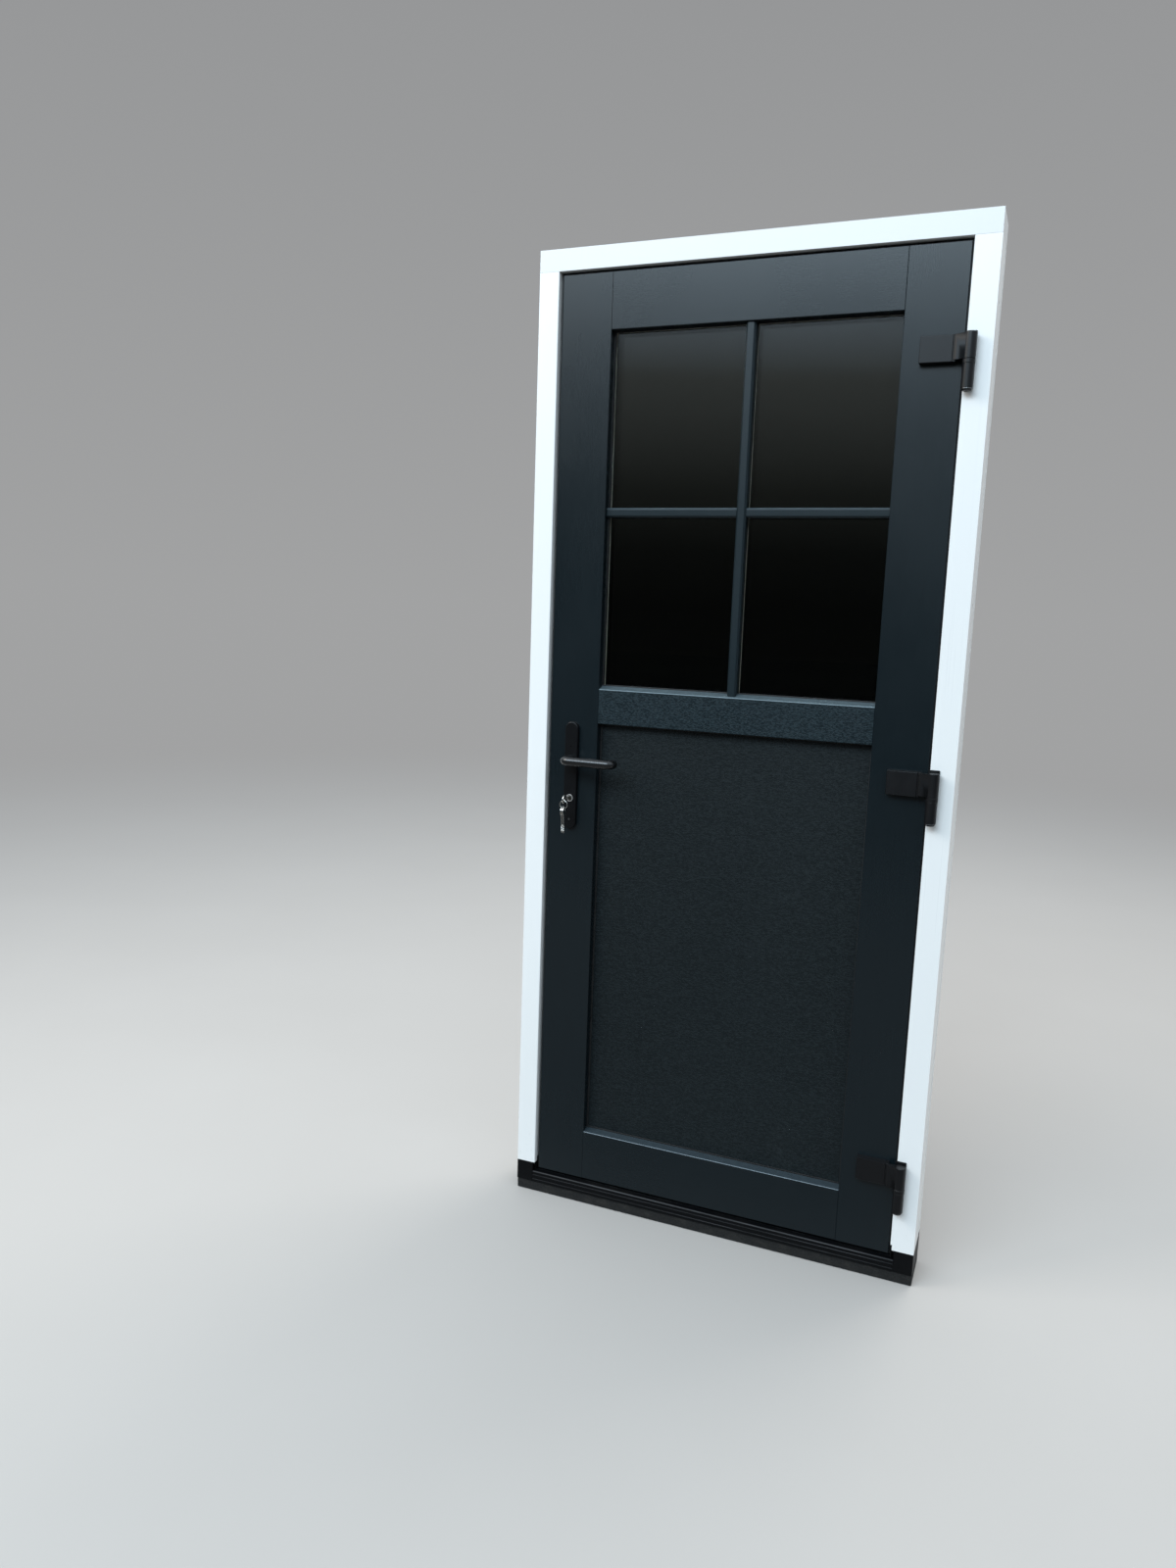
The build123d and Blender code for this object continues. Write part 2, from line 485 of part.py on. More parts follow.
with BuildPart() as rail_bottom:
    with BuildSketch(Plane.YZ.offset(-open_half)):
        with BuildLine():
            Polyline((leaf_front, leaf_bottom), (y_lip, leaf_bottom), (y_lip, panel_bottom), (leaf_front + 1.0, low_front_top + 0.6), (leaf_front, low_front_top - 0.6), close=True)
        make_face()
    extrude(amount=2 * open_half)
    with BuildSketch(Plane.YZ.offset(-body_half)):
        with BuildLine():
            Polyline((y_lip, leaf_bottom), (leaf_back, leaf_bottom), (leaf_back, panel_bottom - 20.0), (y_lip, panel_bottom - 20.0), close=True)
        make_face()
    extrude(amount=2 * body_half)
    for y0, y1, z0, z1 in ((-47.0, -33.0, 66.0, 120.0), (-47.0, -33.0, 123.0, 180.0), (-27.0, 7.6, 100.0, 140.6), (-27.0, 7.6, 66.0, 97.5), (-27.0, 7.6, 143.0, 165.0), (10.5, 17.0, 66.0, 165.0)):
        with Locations((-340.0, y0, z0)):
            Box(680.0, y1 - y0, z1 - z0, align=LOW, mode=Mode.SUBTRACT)
rail_bottom.part.label = "rail_bottom"
export_step(rail_bottom.part, "parts/rail_bottom.step")

# Steel in the stiles and rails; the lock side is milled out round the lock.
with BuildPart() as leaf_reinforcements:
    for side in (-1, 1):
        with BuildSketch(Plane.XY.offset(leaf_bottom + 8.0)):
            with Locations((side * 377.0, -15.0)):
                Rectangle(49.4, 46.4)
                Rectangle(45.4, 42.4, mode=Mode.SUBTRACT)
        extrude(amount=leaf_top - leaf_bottom - 16.0)
    with BuildSketch(Plane.YZ.offset(-326.0)):
        for z in (100.0, 1206.7, 2080.0):
            with Locations((-27.0 + rail_tube[0] / 2, z + rail_tube[1] / 2)):
                Rectangle(34.0, 40.0)
                Rectangle(30.0, 36.0, mode=Mode.SUBTRACT)
    extrude(amount=652.0)
    with Locations((-421.0, lock_y - 8.0, 929.0)):
        Box(76.0, 16.0, 237.0, align=LOW, mode=Mode.SUBTRACT)
    with Locations(*[(-421.0, lock_y - 8.0, z - 16.0) for z in hook_pivots.values()]):
        Box(27.0, 16.0, 62.0, align=LOW, mode=Mode.SUBTRACT)
    with Locations(Location((lock_x, -15.0, z_lever), (90, 0, 0))):
        Cylinder(12.5, 80.0, mode=Mode.SUBTRACT)
    with Locations(Location((lock_x, -15.0, z_cyl), (90, 0, 0))):
        Cylinder(10.5, 80.0, mode=Mode.SUBTRACT)
    with Locations((lock_x - 7.0, -55.0, z_cyl - 27.0)):
        Box(14.0, 80.0, 27.0, align=LOW, mode=Mode.SUBTRACT)
    with Locations(*[Location((lock_x, -15.0, z), (90, 0, 0)) for z in bolt_heights]):
        Cylinder(4.0, 80.0, mode=Mode.SUBTRACT)
    with Locations(*[Location((-410.0, lock_y, z), (0, 90, 0)) for z in leaf_screw_heights]):
        Cylinder(2.1, 30.0, mode=Mode.SUBTRACT)
    with Locations(*[Location((x, -40.0, z), (90, 0, 0)) for x, z in leaf_hinge_screws]):
        Cylinder(2.1, 24.0, mode=Mode.SUBTRACT)
leaf_reinforcements.part.label = "leaf_reinforcements"
export_step(leaf_reinforcements.part, "parts/leaf_reinforcements.step")

# ======================================================================== infill
infill_half = body_half - edge_gap
panel_z0, panel_z1 = panel_bottom - 20.0 + edge_gap, mid_bottom + 20.0 - edge_gap
skin = 1.5
with BuildPart() as panel_skin_outer:
    with Locations((-infill_half, infill_front, panel_z0)):
        Box(2 * infill_half, skin, panel_z1 - panel_z0, align=LOW)
panel_skin_outer.part.label = "panel_skin_outer"
export_step(panel_skin_outer.part, "parts/panel_skin_outer.step")

with BuildPart() as panel_core:
    with Locations((-infill_half, infill_front + skin, panel_z0)):
        Box(2 * infill_half, infill_depth - 2 * skin, panel_z1 - panel_z0, align=LOW)
panel_core.part.label = "panel_core"
export_step(panel_core.part, "parts/panel_core.step")

with BuildPart() as panel_skin_inner:
    with Locations((-infill_half, infill_back - skin, panel_z0)):
        Box(2 * infill_half, skin, panel_z1 - panel_z0, align=LOW)
panel_skin_inner.part.label = "panel_skin_inner"
export_step(panel_skin_inner.part, "parts/panel_skin_inner.step")

pane = 4.0
glass_z0, glass_z1 = glass_bottom - 20.0 + edge_gap, glass_top + 20.0 - edge_gap
with BuildPart() as glass_pane_outer:
    with Locations((-infill_half, infill_front, glass_z0)):
        Box(2 * infill_half, pane, glass_z1 - glass_z0, align=LOW)
glass_pane_outer.part.label = "glass_pane_outer"
export_step(glass_pane_outer.part, "parts/glass_pane_outer.step")

with BuildPart() as glass_pane_inner:
    with Locations((-infill_half, infill_back - pane, glass_z0)):
        Box(2 * infill_half, pane, glass_z1 - glass_z0, align=LOW)
glass_pane_inner.part.label = "glass_pane_inner"
export_step(glass_pane_inner.part, "parts/glass_pane_inner.step")

glass_mid_z = (glass_bottom + glass_top) / 2
with BuildPart() as glass_spacer_frame:
    with BuildSketch(Plane.XZ.offset(-(infill_back - pane))):
        with Locations((0, (glass_z0 + glass_z1) / 2)):
            Rectangle(2 * infill_half - 10.0, glass_z1 - glass_z0 - 10.0)
            Rectangle(2 * infill_half - 29.0, glass_z1 - glass_z0 - 29.0, mode=Mode.SUBTRACT)
    extrude(amount=infill_depth - 2 * pane)
glass_spacer_frame.part.label = "glass_spacer_frame"
export_step(glass_spacer_frame.part, "parts/glass_spacer_frame.step")

with BuildPart() as glass_spacer_cross:
    with BuildSketch(Plane.XZ.offset(9.5)):
        with Locations((0, (glass_z0 + glass_z1) / 2)):
            Rectangle(19.0, glass_z1 - glass_z0 - 29.0)
        with Locations((0, glass_mid_z)):
            Rectangle(2 * infill_half - 29.0, 19.0)
    extrude(amount=13.0)
glass_spacer_cross.part.label = "glass_spacer_cross"
export_step(glass_spacer_cross.part, "parts/glass_spacer_cross.step")

# Glazing bars stuck on the panes, with bevelled fronts.
bar_half = 10.5
with BuildPart() as glazing_bar_upright_outer:
    with BuildSketch(Plane.YZ.offset(-bar_half)):
        with BuildLine():
            Polyline(
                (-45.0, 1264.9), (y_lip, 1271.0), (y_lip, 1273.4), (infill_front, 1273.4),
                (infill_front, 2041.2), (y_lip, 2041.2), (y_lip, glass_top), (-45.0, glass_top), close=True,
            )
        make_face()
    extrude(amount=2 * bar_half)
    chamfer(glazing_bar_upright_outer.edges().filter_by(Axis.Z).group_by(Axis.Y)[0], 4.0)
glazing_bar_upright_outer.part.label = "glazing_bar_upright_outer"
export_step(glazing_bar_upright_outer.part, "parts/glazing_bar_upright_outer.step")

with BuildPart() as glazing_bars_level_outer:
    for side in (-1, 1):
        with BuildSketch(Plane.YZ.offset(side * bar_half)):
            with BuildLine():
                Polyline(
                    (infill_front, glass_mid_z - bar_half), (infill_front, glass_mid_z + bar_half), (-38.0, glass_mid_z + bar_half),
                    (-42.0, glass_mid_z + bar_half - 4.0), (-42.0, glass_mid_z - bar_half + 4.0), (-38.0, glass_mid_z - bar_half), close=True,
                )
            make_face()
        extrude(amount=side * (open_half - bar_half))
        with Locations((side * (open_half - 1.3), y_lip + 1.0, glass_mid_z)):
            Box(2.8, 2.0, 22.0, mode=Mode.SUBTRACT)
glazing_bars_level_outer.part.label = "glazing_bars_level_outer"
export_step(glazing_bars_level_outer.part, "parts/glazing_bars_level_outer.step")

with BuildPart() as glazing_bars_inner:
    with BuildSketch(Plane.XY.offset(glass_bottom)):
        with BuildLine():
            Polyline((-bar_half, infill_back), (bar_half, infill_back), (bar_half, 9.0), (bar_half - 4.0, 13.0), (-bar_half + 4.0, 13.0), (-bar_half, 9.0), close=True)
        make_face()
    extrude(amount=glass_top - glass_bottom)
glazing_bars_level_inner = []
for side in (-1, 1):
    with BuildPart() as level_bar:
        with BuildSketch(Plane.YZ.offset(side * bar_half)):
            with BuildLine():
                Polyline(
                    (infill_back, glass_mid_z - bar_half), (infill_back, glass_mid_z + bar_half), (6.0, glass_mid_z + bar_half),
                    (10.0, glass_mid_z + bar_half - 4.0), (10.0, glass_mid_z - bar_half + 4.0), (6.0, glass_mid_z - bar_half), close=True,
                )
            make_face()
        extrude(amount=side * (open_half - bar_half))
    glazing_bars_level_inner.append(level_bar.part.solid())
bars_inner = Compound(children=[glazing_bars_inner.part.solid()] + glazing_bars_level_inner)
bars_inner.label = "glazing_bars_inner"
export_step(bars_inner, "parts/glazing_bars_inner.step")

# Inside beads: uprights full height, level ones between them.
bead_pieces = []
for z0, z1 in ((glass_bottom - 20.0, glass_top + 20.0), (panel_bottom - 20.0, mid_bottom + 20.0)):
    for side in (-1, 1):
        with BuildPart() as bead:
            with BuildSketch(Plane.XY.offset(z0)):
                with BuildLine():
                    Polyline(
                        (side * body_half, infill_back + 2.0), (side * open_half, infill_back + 2.0), (side * open_half, leaf_back - 8.0),
                        (side * (open_half + 8.0), leaf_back), (side * body_half, leaf_back), close=True,
                    )
                make_face()
            extrude(amount=z1 - z0)
        bead_pieces.append(bead.part.solid())
    for edge, inward in ((z0, 1), (z1, -1)):
        with BuildPart() as bead:
            with BuildSketch(Plane.YZ.offset(-open_half)):
                with BuildLine():
                    Polyline(
                        (infill_back + 2.0, edge), (infill_back + 2.0, edge + inward * 20.0), (leaf_back - 8.0, edge + inward * 20.0),
                        (leaf_back, edge + inward * 12.0), (leaf_back, edge), close=True,
                    )
                make_face()
            extrude(amount=2 * open_half)
        bead_pieces.append(bead.part.solid())
glazing_beads = Compound(children=bead_pieces)
glazing_beads.label = "glazing_beads"
export_step(glazing_beads, "parts/glazing_beads.step")

# Seals: a ring outside and a ring inside, round the glass and round the panel.
with BuildPart() as glazing_gaskets:
    for y0, y1, sight, zs0, zs1, ze0, ze1 in (
        (y_lip, infill_front, open_half - 2.5, glass_bottom + 2.5, glass_top - 2.5, glass_z0 + 2.0, glass_z1 - 2.0),
        (y_lip, infill_front, open_half - 4.0, panel_bottom + 3.0, mid_bottom - 4.0, panel_z0 + 2.0, panel_z1 - 2.0),
        (infill_back, infill_back + 2.0, open_half, glass_bottom, glass_top, glass_z0 + 2.0, glass_z1 - 2.0),
        (infill_back, infill_back + 2.0, open_half, panel_bottom, mid_bottom, panel_z0 + 2.0, panel_z1 - 2.0),
    ):
        with BuildSketch(Plane.XZ.offset(-y1)):
            with Locations((0, (ze0 + ze1) / 2)):
                Rectangle(2 * infill_half - 4.0, ze1 - ze0)
            with Locations((0, (zs0 + zs1) / 2)):
                Rectangle(2 * sight, zs1 - zs0, mode=Mode.SUBTRACT)
        extrude(amount=y1 - y0)
glazing_gaskets.part.label = "glazing_gaskets"
export_step(glazing_gaskets.part, "parts/glazing_gaskets.step")

# Outer seal in the leaf's edge, closing the joint to the frame.
with BuildPart() as leaf_gasket:
    with BuildSketch(Plane.XZ.offset(39.0)):
        with Locations((0, (leaf_bottom + leaf_top) / 2)):
            Rectangle(2 * leaf_half + 9.0, leaf_top - leaf_bottom + 9.0)
            Rectangle(2 * leaf_half, leaf_top - leaf_bottom, mode=Mode.SUBTRACT)
    extrude(amount=5.0)
leaf_gasket.part.label = "leaf_gasket"
export_step(leaf_gasket.part, "parts/leaf_gasket.step")

# ========================================================================== lock
with BuildPart() as lock_faceplate:
    with Locations((-427.0, lock_y - 10.0, face_z0)):
        Box(3.0, 20.0, face_z1 - face_z0, align=LOW)
    with Locations((-428.0, lock_y - 6.5, latch_z0 - 0.5), (-428.0, lock_y - 6.5, dead_z0 - 0.5)):
        Box(5.0, 13.0, 35.0, align=LOW, mode=Mode.SUBTRACT)
    with Locations(*[(-428.0, lock_y - 4.6, z - 9.0) for z in hook_pivots.values()]):
        Box(5.0, 9.2, 39.0, align=LOW, mode=Mode.SUBTRACT)
    with Locations(*[Location((-426.25, lock_y, z), (0, -90, 0)) for z in leaf_screw_heights]):
        Cone(2.1, 3.6, 1.5, mode=Mode.SUBTRACT)
    with Locations(*[Location((-425.5, lock_y, z), (0, 90, 0)) for z in leaf_screw_heights]):
        Cylinder(2.1, 5.0, mode=Mode.SUBTRACT)
lock_faceplate.part.label = "lock_faceplate"
export_step(lock_faceplate.part, "parts/lock_faceplate.step")

with BuildPart() as drive_rod:
    with Locations((-423.7, lock_y - 9.6, 300.0)):
        Box(2.5, 19.2, 1630.0, align=LOW)
    with Locations((-425.0, lock_y - 6.6, latch_z0 - rod_travel - 1.0), (-425.0, lock_y - 6.6, dead_z0 - rod_travel - 1.0)):
        Box(6.0, 13.2, 54.0, align=LOW, mode=Mode.SUBTRACT)
    with Locations(*[(-425.0, lock_y - 5.0, z - 9.0 - rod_travel) for z in hook_pivots.values()]):
        Box(6.0, 10.0, 40.0 + rod_travel, align=LOW, mode=Mode.SUBTRACT)
    with Locations(*[(-425.0, lock_y - 3.0, z - 4.0 - rod_travel) for z in leaf_screw_heights[1:3]]):
        Box(6.0, 6.0, 8.0 + rod_travel, align=LOW, mode=Mode.SUBTRACT)
drive_rod.part.label = "drive_rod"
export_step(drive_rod.part, "parts/drive_rod.step")

with BuildPart() as lock_case:
    with Locations((-420.9, lock_y - 7.5, 930.0)):
        Box(74.9, 15.0, 235.0, align=LOW)
    with Locations((-422.0, lock_y - 6.4, latch_z0 - 0.4)):
        Box(42.0, 12.8, latch_z1 - latch_z0 + 0.8, align=LOW, mode=Mode.SUBTRACT)
    with Locations((-422.0, lock_y - 6.4, dead_z0 - 0.4)):
        Box(38.0, 12.8, dead_z1 - dead_z0 + 0.8, align=LOW, mode=Mode.SUBTRACT)
    # bore of the lever follower
    with Locations(Location((lock_x, lock_y, z_lever), (90, 0, 0))):
        Cylinder(10.08, 30.0, mode=Mode.SUBTRACT)
    # cylinder hole, and the room in which its cam turns
    with Locations(Location((lock_x, lock_y, z_cyl), (90, 0, 0))):
        Cylinder(8.8, 30.0, mode=Mode.SUBTRACT)
    with Locations((lock_x - 5.4, lock_y - 15.0, z_cyl - 25.3)):
        Box(10.8, 30.0, 25.3, align=LOW, mode=Mode.SUBTRACT)
    with Locations(Location((lock_x, lock_y, z_cyl), (90, 0, 0))):
        Cylinder(16.3, 11.4, mode=Mode.SUBTRACT)
    with Locations(Location((lock_x, lock_y, bolt_heights[0]), (90, 0, 0))):
        Cylinder(2.8, 30.0, mode=Mode.SUBTRACT)
lock_case.part.label = "lock_case"
export_step(lock_case.part, "parts/lock_case.step")

with BuildPart() as hook_cases:
    with Locations(*[(-420.9, lock_y - 7.5, z - 15.0) for z in hook_pivots.values()]):
        Box(25.9, 15.0, 60.0, align=LOW)
    with Locations(*[(-422.0, lock_y - 4.5, z - 10.0) for z in hook_pivots.values()]):
        Box(18.5, 9.0, 41.0, align=LOW, mode=Mode.SUBTRACT)
hook_pins = []
for z in hook_pivots.values():
    with BuildPart() as hook_pin:
        with Locations(Location((hook_x, lock_y, z), (90, 0, 0))):
            Cylinder(2.5, 9.0)
    hook_pins.append(hook_pin.part.solid())
with BuildPart() as hook_cases_pinned:
    add(hook_cases.part)
    add(hook_pins)
hook_cases_pinned.part.label = "hook_cases"
export_step(hook_cases_pinned.part, "parts/hook_cases.step")

for hook_name, z in hook_pivots.items():
    with BuildPart() as hook_bolt:
        with BuildSketch(Plane.XZ.offset(-lock_y - 4.0)):
            with Locations((hook_x, z)):
                Circle(6.6)
            with BuildLine():
                Polyline((hook_x - 6.0, z), (hook_x - 6.0, z + hook_reach), (hook_x + 1.0, z + hook_reach), (hook_x + 6.6, z + hook_reach - 6.0), (hook_x + 6.6, z + 17.0), (hook_x + 2.5, z + 14.0), (hook_x + 5.0, z), close=True)
            make_face()
            with Locations((hook_x, z)):
                Circle(2.56, mode=Mode.SUBTRACT)
        extrude(amount=8.0)
    hook_bolt.part.label = "hook_bolt_" + hook_name
    export_step(hook_bolt.part, "parts/hook_bolt_" + hook_name + ".step")

with BuildPart() as latch_bolt:
    with BuildSketch(Plane.XY.offset(latch_z0)):
        with BuildLine():
            Polyline(
                (-438.5, lock_y - 6.0), (-395.0, lock_y - 6.0), (-395.0, lock_y + 6.0), (-427.5, lock_y + 6.0),
                (-438.5, lock_y - 3.0), close=True,
            )
        make_face()
    extrude(amount=latch_z1 - latch_z0)
latch_bolt.part.label = "latch_bolt"
export_step(latch_bolt.part, "parts/latch_bolt.step")

with BuildPart() as deadbolt:
    with Locations((-427.4, lock_y - 6.0, dead_z0)):
        Box(42.4, 12.0, dead_z1 - dead_z0, align=LOW)
    chamfer(deadbolt.faces().sort_by(Axis.X)[0].edges(), 1.0)
deadbolt.part.label = "deadbolt"
export_step(deadbolt.part, "parts/deadbolt.step")

with BuildPart() as leaf_screws:
    with Locations(*[Location((-426.25, lock_y, z), (0, -90, 0)) for z in leaf_screw_heights]):
        Cone(2.1, 3.6, 1.5)
    with Locations(*[Location((-414.5, lock_y, z), (0, 90, 0)) for z in leaf_screw_heights]):
        Cylinder(2.1, 22.0)
    with Locations(*[Location((x, -53.25, z), (90, 0, 0)) for x, z in leaf_hinge_screws]):
        Cone(2.1, 3.6, 1.5)
    with Locations(*[Location((x, -41.5, z), (90, 0, 0)) for x, z in leaf_hinge_screws]):
        Cylinder(2.1, 22.0)
leaf_screws.part.label = "leaf_screws"
export_step(leaf_screws.part, "parts/leaf_screws.step")

# ======================================================================= handles
plate_mid = (plate_bottom + plate_top) / 2
with BuildPart() as handle_plate_outer:
    with BuildSketch(Plane.XZ.offset(-leaf_front)):
        with Locations((lock_x, plate_mid)):
            SlotOverall(plate_top - plate_bottom, plate_width, rotation=90)
    extrude(amount=plate_depth)
    fillet(handle_plate_outer.faces().sort_by(Axis.Y)[0].edges(), 3.0)
    with Locations(Location((lock_x, leaf_front - 5.0, z_lever), (90, 0, 0))):
        Cylinder(10.8, 14.0, mode=Mode.SUBTRACT)
    with Locations(Location((lock_x, leaf_front - 5.0, z_cyl), (90, 0, 0))):
        Cylinder(8.7, 14.0, mode=Mode.SUBTRACT)
    with Locations((lock_x - 5.3, -56.2, z_cyl - 25.0)):
        Box(10.6, 7.0, 25.0, align=LOW, mode=Mode.SUBTRACT)
    with Locations(Location((lock_x, -55.0, bolt_heights[0]), (90, 0, 0))):
        Cylinder(2.55, 14.0, mode=Mode.SUBTRACT)
    with Locations(Location((lock_x, -54.5, bolt_heights[1]), (90, 0, 0))):
        Cylinder(2.55, 10.0, mode=Mode.SUBTRACT)
    with Locations(Location((lock_x, -60.0, 1127.6), (90, 0, 0))):
        Cylinder(1.5, 4.0, mode=Mode.SUBTRACT)
handle_plate_outer.part.label = "handle_plate_outer"
export_step(handle_plate_outer.part, "parts/handle_plate_outer.step")

with BuildPart() as handle_plate_inner:
    with BuildSketch(Plane.XZ.offset(-leaf_back - plate_depth)):
        with Locations((lock_x, plate_mid)):
            SlotOverall(plate_top - plate_bottom, plate_width, rotation=90)
    extrude(amount=plate_depth)
    fillet(handle_plate_inner.faces().sort_by(Axis.Y)[-1].edges(), 3.0)
    with Locations(Location((lock_x, leaf_back + 5.0, z_lever), (90, 0, 0))):
        Cylinder(10.8, 14.0, mode=Mode.SUBTRACT)
    with Locations(Location((lock_x, leaf_back + 5.0, z_cyl), (90, 0, 0))):
        Cylinder(8.7, 14.0, mode=Mode.SUBTRACT)
    with Locations((lock_x - 5.3, leaf_back - 1.0, z_cyl - 25.0)):
        Box(10.6, 14.0, 25.0, align=LOW, mode=Mode.SUBTRACT)
    with Locations(*[Location((lock_x, leaf_back + 5.0, z), (90, 0, 0)) for z in bolt_heights]):
        Cylinder(2.55, 14.0, mode=Mode.SUBTRACT)
    with Locations(*[Location((lock_x, leaf_back + 8.5, z), (90, 0, 0)) for z in bolt_heights]):
        Cylinder(4.6, 3.0, mode=Mode.SUBTRACT)
handle_plate_inner.part.label = "handle_plate_inner"
export_step(handle_plate_inner.part, "parts/handle_plate_inner.step")

# Through bolts that clamp the two plates, headed inside.
with BuildPart() as handle_bolts:
    with Locations(*[Location((lock_x, (-59.4 + 27.0) / 2, z), (90, 0, 0)) for z in bolt_heights]):
        Cylinder(2.5, 86.4)
    with Locations(*[Location((lock_x, 28.3, z), (90, 0, 0)) for z in bolt_heights]):
        Cylinder(4.5, 2.6)
    with Locations(*[Location((lock_x, 29.6, z), (90, 0, 0)) for z in bolt_heights]):
        with BuildSketch(*[Plane(origin=(lock_x, 29.6, z), x_dir=(1, 0, 0), z_dir=(0, 1, 0)) for z in bolt_heights], mode=Mode.PRIVATE) as sockets:
            RegularPolygon(1.6, 6)
    extrude(sockets.sketch, amount=-1.6, mode=Mode.SUBTRACT)
handle_bolts.part.label = "handle_bolts"
export_step(handle_bolts.part, "parts/handle_bolts.step")

# Levers: round bar, bent at the neck and returned at the tip.
bar_r = 10.5
with BuildPart() as lever_outer:
    with BuildLine(Plane.XY.offset(z_lever)) as outer_path:
        FilletPolyline((lock_x, -52.0), (lock_x, -103.0), (-254.0, -103.0), (-254.0, -84.0), radius=12.0)
    with BuildSketch(Plane(origin=(lock_x, -52.0, z_lever), x_dir=(1, 0, 0), z_dir=(0, -1, 0))):
        Circle(bar_r)
    sweep()
    fillet(lever_outer.faces().filter_by(Plane.XZ).sort_by(Axis.X)[-1].edges(), 3.0)
    with Locations((lock_x - 4.0, -76.0, z_lever - 4.0)):
        Box(8.0, 26.0, 8.0, align=LOW, mode=Mode.SUBTRACT)
lever_outer.part.label = "lever_outer"
export_step(lever_outer.part, "parts/lever_outer.step")

with BuildPart() as lever_inner:
    with BuildLine(Plane.XY.offset(z_lever)) as inner_path:
        FilletPolyline((lock_x, 22.0), (lock_x, 73.0), (-254.0, 73.0), (-254.0, 54.0), radius=12.0)
    with BuildSketch(Plane(origin=(lock_x, 22.0, z_lever), x_dir=(1, 0, 0), z_dir=(0, 1, 0))):
        Circle(bar_r)
    sweep()
    fillet(lever_inner.faces().filter_by(Plane.XZ).sort_by(Axis.X)[-1].edges(), 3.0)
    with Locations((lock_x - 4.0, 20.0, z_lever - 4.0)):
        Box(8.0, 26.0, 8.0, align=LOW, mode=Mode.SUBTRACT)
lever_inner.part.label = "lever_inner"
export_step(lever_inner.part, "parts/lever_inner.step")

with BuildPart() as lever_spindle:
    with Locations((lock_x - 4.0, -76.0, z_lever - 4.0)):
        Box(8.0, 122.0, 8.0, align=LOW)
    with Locations(Location((lock_x, lock_y, z_lever), (90, 0, 0))):
        Cylinder(10.0, 14.6)
lever_spindle.part.label = "lever_spindle"
export_step(lever_spindle.part, "parts/lever_spindle.step")

# ====================================================================== cylinder
with BuildPart() as cylinder_body:
    with Locations(Location((lock_x, (-61.0 + 32.0) / 2, z_cyl), (90, 0, 0))):
        Cylinder(8.5, 93.0)
    with Locations((lock_x - 5.0, -56.0, z_cyl - 24.5)):
        Box(10.0, 88.0, 24.5, align=LOW)
    # slot in which the cam turns
    with Locations((lock_x - 10.0, lock_y - 5.5, z_cyl - 16.0)):
        Box(20.0, 11.0, 26.0, align=LOW, mode=Mode.SUBTRACT)
    with Locations(Location((lock_x, -36.0, z_cyl), (90, 0, 0))):
        Cylinder(6.58, 60.0, mode=Mode.SUBTRACT)
    with Locations((lock_x - 1.3, 12.0, z_cyl - 4.2)):
        Box(2.6, 22.0, 8.2, align=LOW, mode=Mode.SUBTRACT)
cylinder_body.part.label = "cylinder_body"
export_step(cylinder_body.part, "parts/cylinder_body.step")

with BuildPart() as cylinder_plug:
    with Locations(Location((lock_x, (-60.7 + lock_y - 5.2) / 2, z_cyl), (90, 0, 0))):
        Cylinder(6.5, 60.7 + lock_y - 5.2)
    with Locations(Location((lock_x, lock_y, z_cyl), (90, 0, 0))):
        Cylinder(8.2, 10.4)
    with Locations((lock_x - 3.5, lock_y - 5.2, z_cyl - 14.5)):
        Box(7.0, 10.4, 12.0, align=LOW)
    with Locations((lock_x - 1.25, -62.0, z_cyl - 4.1)):
        Box(2.5, 32.0, 8.2, align=LOW, mode=Mode.SUBTRACT)
cylinder_plug.part.label = "cylinder_plug"
export_step(cylinder_plug.part, "parts/cylinder_plug.step")

# Key in the cylinder: blade with cuts, shoulder, round bow with the ring hole.
key_t = 2.3
hole_y = -92.5
with BuildPart() as key:
    with BuildSketch(Plane.YZ.offset(lock_x - key_t / 2)):
        with BuildLine():
            Polyline(
                (-78.0, z_cyl - 3.8), (-33.0, z_cyl - 3.8), (-30.5, z_cyl - 1.5), (-33.0, z_cyl + 1.6), (-35.5, z_cyl + 1.6), (-37.0, z_cyl + 3.4),
                (-39.5, z_cyl + 1.2), (-42.0, z_cyl + 3.0), (-44.5, z_cyl + 2.2), (-47.0, z_cyl + 3.4), (-49.5, z_cyl + 0.9), (-52.5, z_cyl + 3.8),
                (-63.5, z_cyl + 3.8), (-63.5, z_cyl + 5.2), (-78.0, z_cyl + 5.2), close=True,
            )
        make_face()
        with Locations((-88.0, z_cyl)):
            Circle(11.0)
        with Locations((hole_y, z_cyl)):
            Circle(3.3, mode=Mode.SUBTRACT)
    extrude(amount=key_t)
key.part.label = "key"
export_step(key.part, "parts/key.step")

ring_r, wire_r = 9.2, 0.9
ring_top = z_cyl - 3.3 + wire_r + 0.3
with BuildPart() as key_ring:
    with Locations(Location((lock_x, hole_y, ring_top - ring_r), (90, 0, 0))):
        Torus(ring_r, wire_r)
key_ring.part.label = "key_ring"
export_step(key_ring.part, "parts/key_ring.step")

